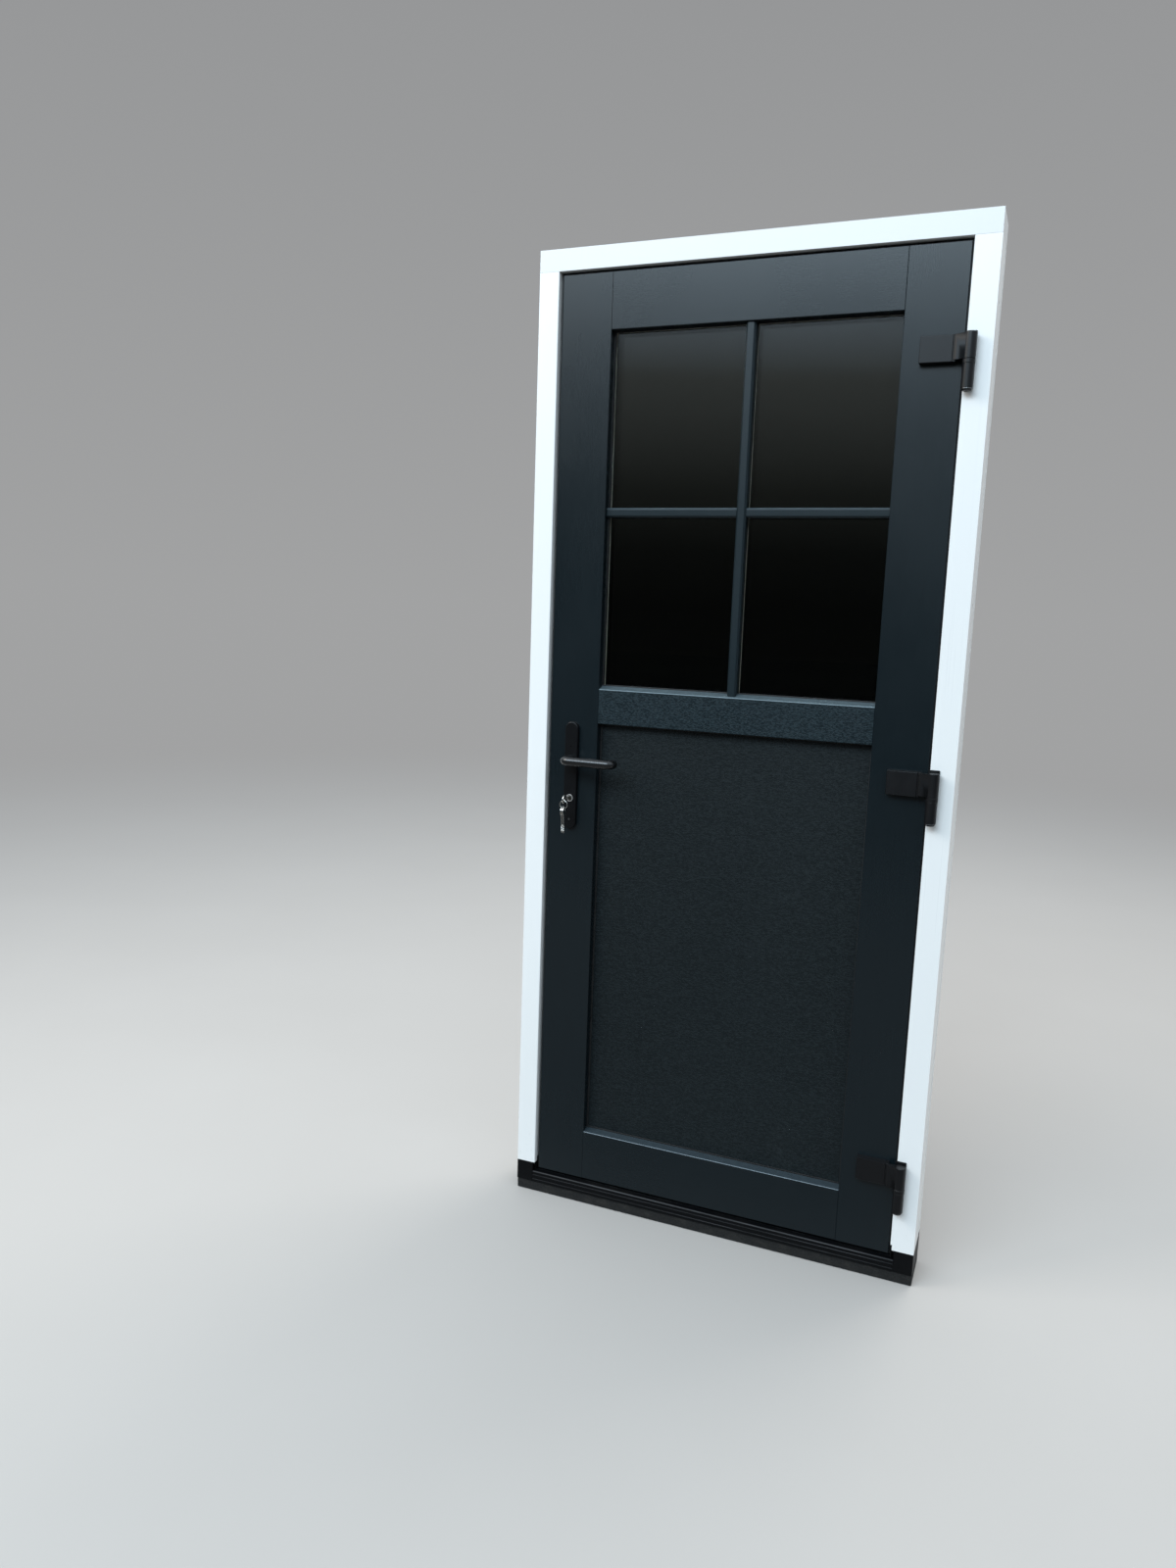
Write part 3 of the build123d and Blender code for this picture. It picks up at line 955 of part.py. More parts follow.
spare_hole_z = ring_top - 2 * ring_r - 1.5
with BuildPart() as spare_keys:
    for x_mid in (lock_x - 2.2, lock_x + 2.2):
        with BuildSketch(Plane.YZ.offset(x_mid - key_t / 2)):
            bow_z = spare_hole_z - 4.5
            with Locations((hole_y, bow_z)):
                Circle(11.0)
            with BuildLine():
                Polyline(
                    (hole_y - 5.2, bow_z - 8.0), (hole_y - 5.2, bow_z - 20.0), (hole_y - 3.8, bow_z - 20.0), (hole_y - 3.8, bow_z - 31.0),
                    (hole_y - 0.9, bow_z - 33.5), (hole_y - 3.4, bow_z - 36.0), (hole_y - 2.2, bow_z - 38.5), (hole_y - 3.0, bow_z - 41.0),
                    (hole_y - 1.2, bow_z - 43.5), (hole_y - 3.4, bow_z - 46.0), (hole_y - 1.6, bow_z - 48.0), (hole_y - 1.6, bow_z - 50.0),
                    (hole_y + 1.5, bow_z - 52.6), (hole_y + 3.8, bow_z - 50.0), (hole_y + 3.8, bow_z - 8.0), close=True,
                )
            make_face()
            with Locations((hole_y, spare_hole_z)):
                Circle(3.3, mode=Mode.SUBTRACT)
        extrude(amount=key_t)
spare_keys.part.label = "spare_keys"
export_step(spare_keys.part, "parts/spare_keys.step")
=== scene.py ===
import math

import bmesh
import bpy
from mathutils import Matrix, Vector


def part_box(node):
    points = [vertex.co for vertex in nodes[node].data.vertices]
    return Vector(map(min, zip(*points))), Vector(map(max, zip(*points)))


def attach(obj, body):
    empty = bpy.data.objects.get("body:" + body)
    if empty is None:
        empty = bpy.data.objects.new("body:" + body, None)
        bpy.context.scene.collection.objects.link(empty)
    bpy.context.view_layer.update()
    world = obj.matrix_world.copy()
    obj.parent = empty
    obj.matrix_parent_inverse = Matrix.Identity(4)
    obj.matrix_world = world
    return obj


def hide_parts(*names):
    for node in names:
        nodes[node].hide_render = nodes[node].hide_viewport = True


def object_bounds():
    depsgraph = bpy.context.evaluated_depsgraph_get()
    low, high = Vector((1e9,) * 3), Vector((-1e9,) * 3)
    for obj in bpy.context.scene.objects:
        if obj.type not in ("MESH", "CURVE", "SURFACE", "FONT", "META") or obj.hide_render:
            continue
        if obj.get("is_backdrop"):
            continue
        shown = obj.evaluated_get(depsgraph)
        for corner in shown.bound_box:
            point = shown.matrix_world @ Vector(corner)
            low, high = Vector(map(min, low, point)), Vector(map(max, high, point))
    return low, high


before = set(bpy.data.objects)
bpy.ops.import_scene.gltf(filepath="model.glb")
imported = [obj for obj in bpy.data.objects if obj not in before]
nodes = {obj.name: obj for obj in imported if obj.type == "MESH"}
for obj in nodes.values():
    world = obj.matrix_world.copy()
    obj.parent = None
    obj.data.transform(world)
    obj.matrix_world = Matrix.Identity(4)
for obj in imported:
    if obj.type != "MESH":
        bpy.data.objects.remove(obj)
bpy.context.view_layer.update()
scene = bpy.context.scene


# --------------------------------------------------------------- node helpers
class Graph:
    """A material's node tree with one Principled shader."""

    def __init__(self, name):
        self.material = bpy.data.materials.new(name)
        self.material.use_nodes = True
        self.tree = self.material.node_tree
        self.tree.nodes.clear()
        self.out = self.node("ShaderNodeOutputMaterial")
        self.shader = self.node("ShaderNodeBsdfPrincipled")
        self.link(self.shader.outputs[0], self.out.inputs["Surface"])
        self.coord = self.node("ShaderNodeTexCoord").outputs["Object"]

    def node(self, kind, **values):
        n = self.tree.nodes.new(kind)
        for key, value in values.items():
            setattr(n, key, value)
        return n

    def link(self, a, b):
        self.tree.links.new(a, b)

    def put(self, socket, value):
        if isinstance(value, bpy.types.NodeSocket):
            self.link(value, socket)
        else:
            socket.default_value = value

    def set(self, **values):
        for key, value in values.items():
            self.put(self.shader.inputs[key.replace("_", " ")], value)

    def scaled(self, scale, offset=(0, 0, 0), rotation=(0, 0, 0)):
        n = self.node("ShaderNodeMapping")
        self.link(self.coord, n.inputs["Vector"])
        n.inputs["Scale"].default_value = scale
        n.inputs["Location"].default_value = offset
        n.inputs["Rotation"].default_value = rotation
        return n.outputs[0]

    def noise(self, vector, scale=1.0, detail=3.0, rough=0.5, distort=0.0):
        n = self.node("ShaderNodeTexNoise")
        self.link(vector, n.inputs["Vector"])
        n.inputs["Scale"].default_value = scale
        n.inputs["Detail"].default_value = detail
        n.inputs["Roughness"].default_value = rough
        n.inputs["Distortion"].default_value = distort
        return n.outputs["Fac"]

    def voronoi(self, vector, scale=1.0, feature="F1", out="Distance"):
        n = self.node("ShaderNodeTexVoronoi", feature=feature)
        self.link(vector, n.inputs["Vector"])
        n.inputs["Scale"].default_value = scale
        return n.outputs[out]

    def wave(self, vector, scale, direction="Z", distort=0.0):
        n = self.node("ShaderNodeTexWave", bands_direction=direction)
        self.link(vector, n.inputs["Vector"])
        n.inputs["Scale"].default_value = scale
        n.inputs["Distortion"].default_value = distort
        return n.outputs["Fac"]

    def ramp(self, value, low, high, a=0.0, b=1.0, smooth=True):
        n = self.node("ShaderNodeMapRange", interpolation_type="SMOOTHSTEP" if smooth else "LINEAR", clamp=True) if smooth else self.node("ShaderNodeMapRange")
        self.put(n.inputs["Value"], value)
        n.inputs["From Min"].default_value = low
        n.inputs["From Max"].default_value = high
        n.inputs["To Min"].default_value = a
        n.inputs["To Max"].default_value = b
        return n.outputs[0]

    def math(self, op, a, b=0.0, c=0.0):
        n = self.node("ShaderNodeMath", operation=op)
        self.put(n.inputs[0], a)
        self.put(n.inputs[1], b)
        self.put(n.inputs[2], c)
        return n.outputs[0]

    def mix(self, fac, a, b, kind="RGBA", blend="MIX"):
        n = self.node("ShaderNodeMix", data_type=kind)
        if kind == "RGBA":
            n.blend_type = blend
            ia, ib, out = n.inputs[6], n.inputs[7], n.outputs[2]
        else:
            ia, ib, out = n.inputs[2], n.inputs[3], n.outputs[0]
        self.put(n.inputs[0], fac)
        self.put(ia, a)
        self.put(ib, b)
        return out

    def xyz(self, vector=None):
        n = self.node("ShaderNodeSeparateXYZ")
        self.link(vector if vector is not None else self.coord, n.inputs[0])
        return n.outputs

    def normal_z(self):
        n = self.node("ShaderNodeNewGeometry")
        return self.xyz(n.outputs["Normal"])[2]

    def bump(self, height, distance, strength=1.0, under=None):
        n = self.node("ShaderNodeBump")
        n.inputs["Distance"].default_value = distance
        n.inputs["Strength"].default_value = strength
        self.link(height, n.inputs["Height"])
        if under is not None:
            self.link(under, n.inputs["Normal"])
        return n.outputs[0]


def rgb(r, g, b):
    return (r, g, b, 1.0)


# ------------------------------------------------------------------ materials
def white_plastic():
    g = Graph("white_upvc")
    broad = g.noise(g.scaled((3, 3, 1.2)), 1.0, 3)
    fine = g.noise(g.scaled((700, 700, 420)), 1.0, 2)
    height = g.xyz()[2]
    upright = g.noise(g.scaled((240, 240, 1.6)), 1.0, 2)
    level = g.noise(g.scaled((1.6, 240, 240)), 1.0, 2)
    over = g.math("GREATER_THAN", height, 2.1705)
    streak = g.mix(over, upright, level, "FLOAT")
    low = g.ramp(height, 0.22, 0.07)
    specks = g.ramp(g.noise(g.scaled((90, 90, 60)), 1.0, 5, 0.65), 0.55, 0.80)
    run = g.ramp(g.noise(g.scaled((70, 70, 2.0), (3, 1, 2)), 1.0, 3), 0.60, 0.80)
    dirt = g.math("ADD", g.math("MULTIPLY", g.math("MULTIPLY", low, specks), 0.30), g.math("MULTIPLY", run, 0.035))
    clean = g.mix(broad, rgb(0.820, 0.816, 0.797), rgb(0.855, 0.850, 0.832))
    # the head, above the jambs' top, is made greyer: painted shade standing in for shade from an overhang
    clean = g.mix(g.math("MULTIPLY", over, 0.8), clean, rgb(0.690, 0.690, 0.682))
    g.set(Base_Color=g.mix(dirt, clean, rgb(0.40, 0.38, 0.33)))
    g.set(Roughness=g.ramp(g.math("ADD", g.math("MULTIPLY", broad, 0.6), g.math("MULTIPLY", streak, 0.4)), 0.3, 0.7, 0.26, 0.38))
    n = g.bump(fine, 0.00003, 0.3)
    g.set(Normal=g.bump(streak, 0.00004, 0.15, n))
    return g.material


def foil(name, along, dark, light, emboss, dash, contrast=0.6, smooth=0.36, gloss=0.22, ledge=(0.034, 0.047, 0.055)):
    """Printed foil over embossed wood grain. along is the grain's axis, 0 for X and 2 for Z; dash is a stroke's length and height."""
    g = Graph(name)

    def lines(long, high, offset, detail=2, rough=0.5, distort=0.12):
        scale = [1 / high, 1 / high, 1 / high]
        scale[along] = 1 / long
        return g.noise(g.scaled(tuple(scale), offset), 1.0, detail, rough, distort)

    strokes = g.ramp(lines(dash[0], dash[1], (0, 0, 0)), 0.46, 0.60)
    pores = g.ramp(lines(dash[0] * 0.8, dash[1] * 0.32, (5.5, 2.0, 3.3)), 0.50, 0.62)
    figure = lines(dash[0] * 4.5, dash[1] * 4.0, (3.1, 1.7, 5.3), 3, 0.55, 0.5)
    broad = g.noise(g.scaled((1.6, 1.6, 1.1), (0.4, 0, 0.9)), 1.0, 4, 0.6)
    up = g.ramp(g.normal_z(), 0.30, 0.72)
    relief = g.math("MULTIPLY", g.math("ADD", strokes, g.math("MULTIPLY", pores, 0.45)), g.math("SUBTRACT", 1.0, g.math("MULTIPLY", up, 0.8)))
    tone = g.math("ADD", g.math("MULTIPLY", relief, contrast * 0.8), g.math("MULTIPLY", figure, 0.40))
    tone = g.math("ADD", tone, g.math("MULTIPLY", broad, 0.35))
    body = g.mix(g.ramp(tone, 0.30, 0.45 + contrast, smooth=False), rgb(*dark), rgb(*light))
    # hand marks; up-facing ledges are made lighter and bluer, partly dust and partly painted sky light
    smear = g.ramp(g.noise(g.scaled((5, 5, 3.2), (7.7, 2.0, 4.4)), 1.0, 6, 0.7), 0.60, 0.80)
    body = g.mix(g.math("MULTIPLY", smear, 0.04), body, rgb(0.08, 0.09, 0.10))
    dust = g.ramp(g.noise(g.scaled((60, 60, 60), (1, 4, 2)), 1.0, 5, 0.65), 0.25, 0.75, 0.75, 1.0)
    body = g.mix(g.math("MULTIPLY", up, dust), body, rgb(*ledge))
    # the front arris of a ledge is made much lighter: a painted highlight
    lip_highlight = g.math("MULTIPLY", g.math("LESS_THAN", g.xyz()[1], -0.0487), g.ramp(g.normal_z(), 0.15, 0.40))
    g.set(Base_Color=g.mix(g.math("MULTIPLY", lip_highlight, dust), body, rgb(*(2.6 * v + 0.02 for v in ledge))))
    share = 0.3 if emboss > 0.3 else 0.04
    g.set(Roughness=g.ramp(g.math("ADD", g.math("MULTIPLY", strokes, share), g.math("MULTIPLY", broad, 1.0 - share)), 0.30, 0.70, smooth - 0.03, smooth + 0.05))
    g.shader.inputs["Specular IOR Level"].default_value = gloss
    n = g.bump(figure, 0.00008 * emboss, 0.5)
    g.set(Normal=g.bump(relief, 0.00013 * emboss, 0.9, n))
    return g.material


def threshold_plastic():
    g = Graph("black_threshold")
    broad = g.noise(g.scaled((9, 9, 20)), 1.0, 5, 0.62)
    fine = g.noise(g.scaled((120, 900, 900)), 1.0, 3)
    up = g.ramp(g.normal_z(), 0.5, 0.95)
    dust = g.math("MULTIPLY", g.ramp(broad, 0.42, 0.75), g.math("ADD", g.math("MULTIPLY", up, 0.6), 0.18))
    body = g.mix(g.math("MULTIPLY", dust, 0.30), rgb(0.0024, 0.0027, 0.0033), rgb(0.024, 0.022, 0.019))
    # upward-sloping arrises are made light grey: partly wear, partly a painted highlight
    nz = g.normal_z()
    arris = g.math("MULTIPLY", g.ramp(nz, 0.22, 0.42), g.math("SUBTRACT", 1.0, g.ramp(nz, 0.82, 0.95)))
    wear_and_highlight = g.math("MULTIPLY", arris, g.ramp(g.noise(g.scaled((6, 60, 60), (2, 1, 3)), 1.0, 4, 0.6), 0.35, 0.70, 0.25, 1.0))
    g.set(Base_Color=g.mix(wear_and_highlight, body, rgb(0.046, 0.047, 0.049)))
    g.set(Roughness=g.ramp(broad, 0.3, 0.7, 0.34, 0.52))
    g.shader.inputs["Specular IOR Level"].default_value = 0.13
    g.set(Normal=g.bump(fine, 0.00005, 0.5))
    return g.material


def base_plastic():
    g = Graph("base_plastic")
    grit = g.noise(g.scaled((260, 260, 260)), 1.0, 6, 0.7)
    lumps = g.noise(g.scaled((34, 34, 60)), 1.0, 4, 0.6)
    g.set(Base_Color=g.mix(g.ramp(lumps, 0.45, 0.75), rgb(0.0036, 0.0036, 0.0036), rgb(0.015, 0.0135, 0.0115)))
    g.set(Roughness=g.ramp(grit, 0.3, 0.7, 0.65, 0.95))
    n = g.bump(lumps, 0.0012, 0.6)
    g.set(Normal=g.bump(grit, 0.0005, 0.8, n))
    return g.material


def metal(name, low, high, rough=(0.25, 0.4), stretch=(700, 700, 18), depth=0.00003):
    g = Graph(name)
    brush = g.noise(g.scaled(stretch), 1.0, 3)
    broad = g.noise(g.scaled((22, 22, 22)), 1.0, 4, 0.6)
    g.set(Base_Color=g.mix(g.math("ADD", g.math("MULTIPLY", brush, 0.5), g.math("MULTIPLY", broad, 0.5)), rgb(*low), rgb(*high)))
    g.set(Metallic=1.0, Roughness=g.ramp(g.math("ADD", g.math("MULTIPLY", brush, 0.6), g.math("MULTIPLY", broad, 0.4)), 0.3, 0.7, *rough))
    g.set(Normal=g.bump(brush, depth, 0.5))
    return g.material


def galvanised():
    g = Graph("galvanised_steel")
    cells = g.voronoi(g.scaled((90, 90, 90)), 1.0, out="Color")
    tone = g.xyz(cells)[0]
    g.set(Base_Color=g.mix(tone, rgb(0.42, 0.43, 0.45), rgb(0.62, 0.63, 0.64)))
    g.set(Metallic=1.0, Roughness=g.ramp(tone, 0, 1, 0.32, 0.5))
    g.set(Normal=g.bump(g.noise(g.scaled((300, 300, 300)), 1.0, 3), 0.00004, 0.4))
    return g.material


def powder_black(name, tone, gloss, rough):
    g = Graph(name)
    orange = g.noise(g.scaled((1500, 1500, 1500)), 1.0, 2)
    broad = g.noise(g.scaled((30, 30, 30)), 1.0, 4, 0.6)
    rub = g.ramp(g.noise(g.scaled((130, 130, 70), (2, 5, 1)), 1.0, 6, 0.72), 0.62, 0.8)
    g.set(Base_Color=g.mix(g.math("MULTIPLY", rub, 0.22), rgb(*tone), rgb(0.022, 0.022, 0.024)))
    g.set(Roughness=g.ramp(g.math("ADD", g.math("MULTIPLY", broad, 0.7), g.math("MULTIPLY", rub, 0.3)), 0.25, 0.75, *rough))
    g.shader.inputs["Specular IOR Level"].default_value = gloss
    g.set(Normal=g.bump(orange, 0.00003, 0.5))
    return g.material


def edge_spacer():
    """Black warm-edge bar with two light bands along it, a grey one at the front and a cream one at the rear."""
    g = Graph("glass_spacer")
    _, y, _ = g.xyz()
    rear = g.math("COMPARE", y, -0.0110, 0.0030)
    fore = g.math("COMPARE", y, -0.0232, 0.0005)
    foil = g.noise(g.scaled((40, 900, 40)), 1.0, 2)
    body = g.mix(foil, rgb(0.008, 0.008, 0.009), rgb(0.020, 0.020, 0.021))
    body = g.mix(fore, body, rgb(0.20, 0.22, 0.21))
    g.set(Base_Color=g.mix(rear, body, rgb(0.82, 0.77, 0.68)))
    g.set(Roughness=g.ramp(foil, 0.3, 0.7, 0.35, 0.55), Normal=g.bump(foil, 0.00004, 0.4))
    return g.material


def cross_spacer():
    g = Graph("glass_spacer_bars")
    x, y, z = g.xyz()
    side = g.math("COMPARE", g.math("ABSOLUTE", x), 0.0095, 0.0009)
    back = g.math("MULTIPLY", side, g.math("GREATER_THAN", y, -0.0150))
    foil = g.noise(g.scaled((40, 900, 40)), 1.0, 2)
    body = g.mix(foil, rgb(0.008, 0.008, 0.009), rgb(0.020, 0.020, 0.021))
    g.set(Base_Color=g.mix(back, body, rgb(0.84, 0.78, 0.68)))
    g.set(Roughness=g.ramp(foil, 0.3, 0.7, 0.35, 0.55), Normal=g.bump(foil, 0.00004, 0.4))
    return g.material


def rubber():
    g = Graph("black_rubber")
    fine = g.noise(g.scaled((1100, 1100, 1100)), 1.0, 3)
    broad = g.noise(g.scaled((25, 25, 25)), 1.0, 4)
    g.set(Base_Color=g.mix(broad, rgb(0.0035, 0.0035, 0.0036), rgb(0.0085, 0.0085, 0.0090)))
    g.set(Roughness=g.ramp(broad, 0.3, 0.7, 0.5, 0.7))
    g.set(Normal=g.bump(fine, 0.00005, 0.6))
    return g.material


def glass(name, clean, dusty, shine):
    g = Graph(name)
    film = g.ramp(g.noise(g.scaled((7, 7, 5)), 1.0, 6, 0.7), 0.45, 0.85)
    g.set(Base_Color=g.mix(film, rgb(*clean), rgb(*dusty)))
    g.set(Roughness=g.math("MULTIPLY", film, 0.010))
    g.shader.inputs["Transmission Weight"].default_value = 1.0
    g.shader.inputs["IOR"].default_value = 1.5
    g.shader.inputs["Specular IOR Level"].default_value = shine
    return g.material


def foam():
    g = Graph("foam")
    cells = g.voronoi(g.scaled((420, 420, 420)), 1.0)
    g.set(Base_Color=g.mix(cells, rgb(0.74, 0.70, 0.58), rgb(0.86, 0.83, 0.73)))
    g.set(Roughness=0.9, Normal=g.bump(cells, 0.0008, 0.7))
    return g.material


FOIL_DARK, FOIL_LIGHT = (0.0033, 0.0072, 0.0095), (0.0041, 0.0085, 0.0110)
M = {
    "white": white_plastic(),
    "stile": foil("foil_upright", 2, FOIL_DARK, FOIL_LIGHT, 0.010, (0.030, 0.0022), 0.06, 0.27, 0.42),
    "rail": foil("foil_level", 0, FOIL_DARK, FOIL_LIGHT, 0.025, (0.030, 0.0022), 0.10, 0.27, 0.42, ledge=(0.030, 0.042, 0.050)),
    "bar": foil("foil_bars", 0, (0.0088, 0.0155, 0.0190), (0.0100, 0.0175, 0.0215), 0.03, (0.020, 0.0022), 0.5, 0.32, 0.34, ledge=(0.034, 0.048, 0.056)),
    "rail_middle": foil("foil_level_coarse", 0, (0.0036, 0.0080, 0.0104), (0.0180, 0.0312, 0.0375), 0.8, (0.0064, 0.0016), 0.60, 0.38, ledge=(0.060, 0.082, 0.092)),
    "panel": foil("foil_panel", 0, (0.0046, 0.0072, 0.0082), (0.0128, 0.0178, 0.0196), 0.55, (0.0062, 0.0013), 0.55, 0.46, 0.20),
    "threshold": threshold_plastic(),
    "base": base_plastic(),
    "galvanised": galvanised(),
    "spacer": metal("spacer_aluminium", (0.50, 0.51, 0.52), (0.66, 0.67, 0.68), (0.35, 0.5)),
    "black_metal": powder_black("black_metal", (0.0030, 0.0031, 0.0038), 0.34, (0.38, 0.50)),
    "black_plate": powder_black("black_plate", (0.0034, 0.0036, 0.0042), 0.20, (0.36, 0.46)),
    "black_lever": powder_black("black_lever", (0.0050, 0.0052, 0.0058), 0.62, (0.22, 0.29)),
    "bolt_dark": metal("bolt_dark", (0.13, 0.13, 0.13), (0.20, 0.20, 0.20), (0.32, 0.45), (300, 300, 300)),
    "pin_steel": metal("pin_steel", (0.22, 0.22, 0.22), (0.34, 0.34, 0.34), (0.3, 0.45)),
    "lock_steel": metal("lock_steel", (0.42, 0.42, 0.41), (0.60, 0.60, 0.58), (0.25, 0.42)),
    "nickel": metal("nickel", (0.50, 0.49, 0.46), (0.72, 0.70, 0.66), (0.16, 0.30), (300, 300, 300)),
    "brass": metal("brass", (0.48, 0.34, 0.13), (0.72, 0.54, 0.26), (0.2, 0.36), (300, 300, 300)),
    "rubber": rubber(),
    "pane_outer": glass("glass_outer", (0.92, 0.945, 0.935), (0.88, 0.90, 0.89), 0.45),
    # the inner pane is near black: painted shade standing in for a dark room behind the glass
    "pane_inner": glass("glass_inner", (0.0030, 0.0034, 0.0031), (0.0040, 0.0045, 0.0040), 0.03),
    "edge_spacer": edge_spacer(),
    "cross_spacer": cross_spacer(),
    # the cylinder's face is a brighter copy of the nickel finish, painted light, and its plug a much darker copy,
    # painted shade
    "cylinder_face": metal("cylinder_face", (0.80, 0.76, 0.73), (0.95, 0.91, 0.88), (0.36, 0.48), (300, 300, 300)),
    "cylinder_dark": metal("cylinder_plug", (0.10, 0.095, 0.085), (0.20, 0.19, 0.17), (0.3, 0.45), (300, 300, 300)),
    "foam": foam(),
}

LOOK = {
    "frame_jamb_left": "white", "frame_jamb_right": "white", "frame_head": "white",
    "frame_reinforcements": "galvanised", "threshold": "threshold", "threshold_end_left": "threshold",
    "threshold_end_right": "threshold", "threshold_base": "base", "frame_gasket": "rubber",
    "strike_plate_centre": "lock_steel", "strike_plates_hook": "lock_steel", "frame_screws": "lock_steel",
    "hinge_top_frame_part": "black_metal", "hinge_middle_frame_part": "black_metal", "hinge_bottom_frame_part": "black_metal",
    "hinge_pins": "lock_steel", "hinge_bearing_rings": "black_metal",
    "stile_lock_side": "stile", "stile_hinge_side": "stile", "rail_top": "rail", "rail_middle": "rail_middle", "rail_bottom": "rail",
    "leaf_reinforcements": "galvanised", "panel_skin_outer": "panel", "panel_core": "foam", "panel_skin_inner": "panel",
    "glass_pane_outer": "pane_outer", "glass_pane_inner": "pane_inner", "glass_spacer_frame": "edge_spacer", "glass_spacer_cross": "cross_spacer",
    "glazing_bar_upright_outer": "bar", "glazing_bars_level_outer": "bar", "glazing_bars_inner": "bar",
    "glazing_beads": "rail", "glazing_gaskets": "rubber", "leaf_gasket": "rubber",
    "hinge_top_leaf_part": "black_metal", "hinge_middle_leaf_part": "black_metal", "hinge_bottom_leaf_part": "black_metal",
    "hinge_covers": "black_metal", "lock_case": "lock_steel", "lock_faceplate": "lock_steel", "hook_cases": "lock_steel",
    "leaf_screws": "lock_steel", "handle_plate_outer": "black_plate", "handle_plate_inner": "black_plate",
    "handle_bolts": "bolt_dark", "cylinder_body": "cylinder_face", "lever_outer": "black_lever", "lever_inner": "black_lever",
    "lever_spindle": "lock_steel", "latch_bolt": "nickel", "deadbolt": "nickel", "drive_rod": "lock_steel",
    "hook_bolt_upper": "lock_steel", "hook_bolt_lower": "lock_steel", "cylinder_plug": "cylinder_dark", "key": "nickel",
    "key_ring": "nickel", "spare_keys": "nickel",
}
for name, look in LOOK.items():
    slots = nodes[name].data.materials
    slots.clear()
    slots.append(M[look])


def tidy_group(faceted=False):
    """Joins split corners and drops the stored normals, in a modifier."""
    group = bpy.data.node_groups.new("tidy", "GeometryNodeTree")
    group.interface.new_socket("Geometry", in_out="INPUT", socket_type="NodeSocketGeometry")
    group.interface.new_socket("Geometry", in_out="OUTPUT", socket_type="NodeSocketGeometry")
    a, z = group.nodes.new("NodeGroupInput"), group.nodes.new("NodeGroupOutput")
    join = group.nodes.new("GeometryNodeMergeByDistance")
    join.inputs["Distance"].default_value = 1e-5
    normal = group.nodes.new("GeometryNodeSetMeshNormal")
    normal.mode = "SHARPNESS"
    angle = group.nodes.new("GeometryNodeInputMeshEdgeAngle")
    more = group.nodes.new("ShaderNodeMath")
    more.operation = "GREATER_THAN"
    more.inputs[1].default_value = math.radians(28)
    group.links.new(a.outputs[0], join.inputs["Geometry"])
    group.links.new(join.outputs[0], normal.inputs["Mesh"])
    group.links.new(angle.outputs[0], more.inputs[0])
    group.links.new(more.outputs[0], normal.inputs["Edge Sharpness"])
    normal.inputs["Remove Custom"].default_value = True
    if faceted:
        normal.inputs["Face Sharpness"].default_value = True
    group.links.new(normal.outputs[0], z.inputs[0])
    return group


TIDY, FACETED = tidy_group(), tidy_group(True)


def soften(name, width, segments=2, angle=28.0):
    """Rounds a CAD node's sharp edges a little, with modifiers only."""
    o = nodes[name]
    tidy = o.modifiers.new("tidy", "NODES")
    if width is None:
        tidy.node_group = FACETED
        return o
    tidy.node_group = TIDY
    flat = o.modifiers.new("flat", "DECIMATE")
    flat.decimate_type = "DISSOLVE"
    flat.angle_limit = math.radians(0.5)
    bevel = o.modifiers.new("round", "BEVEL")
    bevel.width = width
    bevel.segments = segments
    bevel.limit_method = "ANGLE"
    bevel.angle_limit = math.radians(angle)
    bevel.harden_normals = True
    bevel.use_clamp_overlap = False
    return o


for name, width in {
    "frame_jamb_left": 0.0006, "frame_jamb_right": 0.0003, "frame_head": 0.0006,
    "threshold": 0.0006, "threshold_end_left": 0.0009, "threshold_end_right": 0.0009, "threshold_base": 0.0015,
    "stile_lock_side": None, "stile_hinge_side": None, "rail_top": 0.0006, "rail_middle": 0.0006, "rail_bottom": 0.0006,
    "glazing_bar_upright_outer": 0.0006, "glazing_bars_level_outer": 0.0006, "glazing_bars_inner": 0.0006, "glazing_beads": 0.0006,
    "hinge_top_leaf_part": 0.0006, "hinge_middle_leaf_part": 0.0006, "hinge_bottom_leaf_part": 0.0006,
    "hinge_top_frame_part": 0.0006, "hinge_middle_frame_part": 0.0006, "hinge_bottom_frame_part": 0.0006,
    "hinge_covers": 0.0005, "strike_plate_centre": 0.0003, "strike_plates_hook": 0.0003,
    "latch_bolt": 0.0006, "deadbolt": 0.0005, "key": 0.0002, "spare_keys": 0.0002,
    "glazing_gaskets": 0.0005, "lock_faceplate": 0.0004, "glass_spacer_frame": 0.0004, "glass_spacer_cross": 0.0004,
}.items():
    soften(name, width)



# -------------------------------------------------------------- detail pieces
def piece(name, bm, look, body, smooth=True, sharp=40.0):
    """Makes an object of a bmesh, with sharp edges marked by angle."""
    bmesh.ops.recalc_face_normals(bm, faces=bm.faces)
    for f in bm.faces:
        f.smooth = smooth
    for e in bm.edges:
        if e.is_manifold and e.calc_face_angle(0.0) > math.radians(sharp):
            e.smooth = False
    mesh = bpy.data.meshes.new(name)
    bm.to_mesh(mesh)
    bm.free()
    o = bpy.data.objects.new(name, mesh)
    scene.collection.objects.link(o)
    for m in (look if isinstance(look, (list, tuple)) else [look]):
        mesh.materials.append(M[m])
    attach(o, body)
    return o


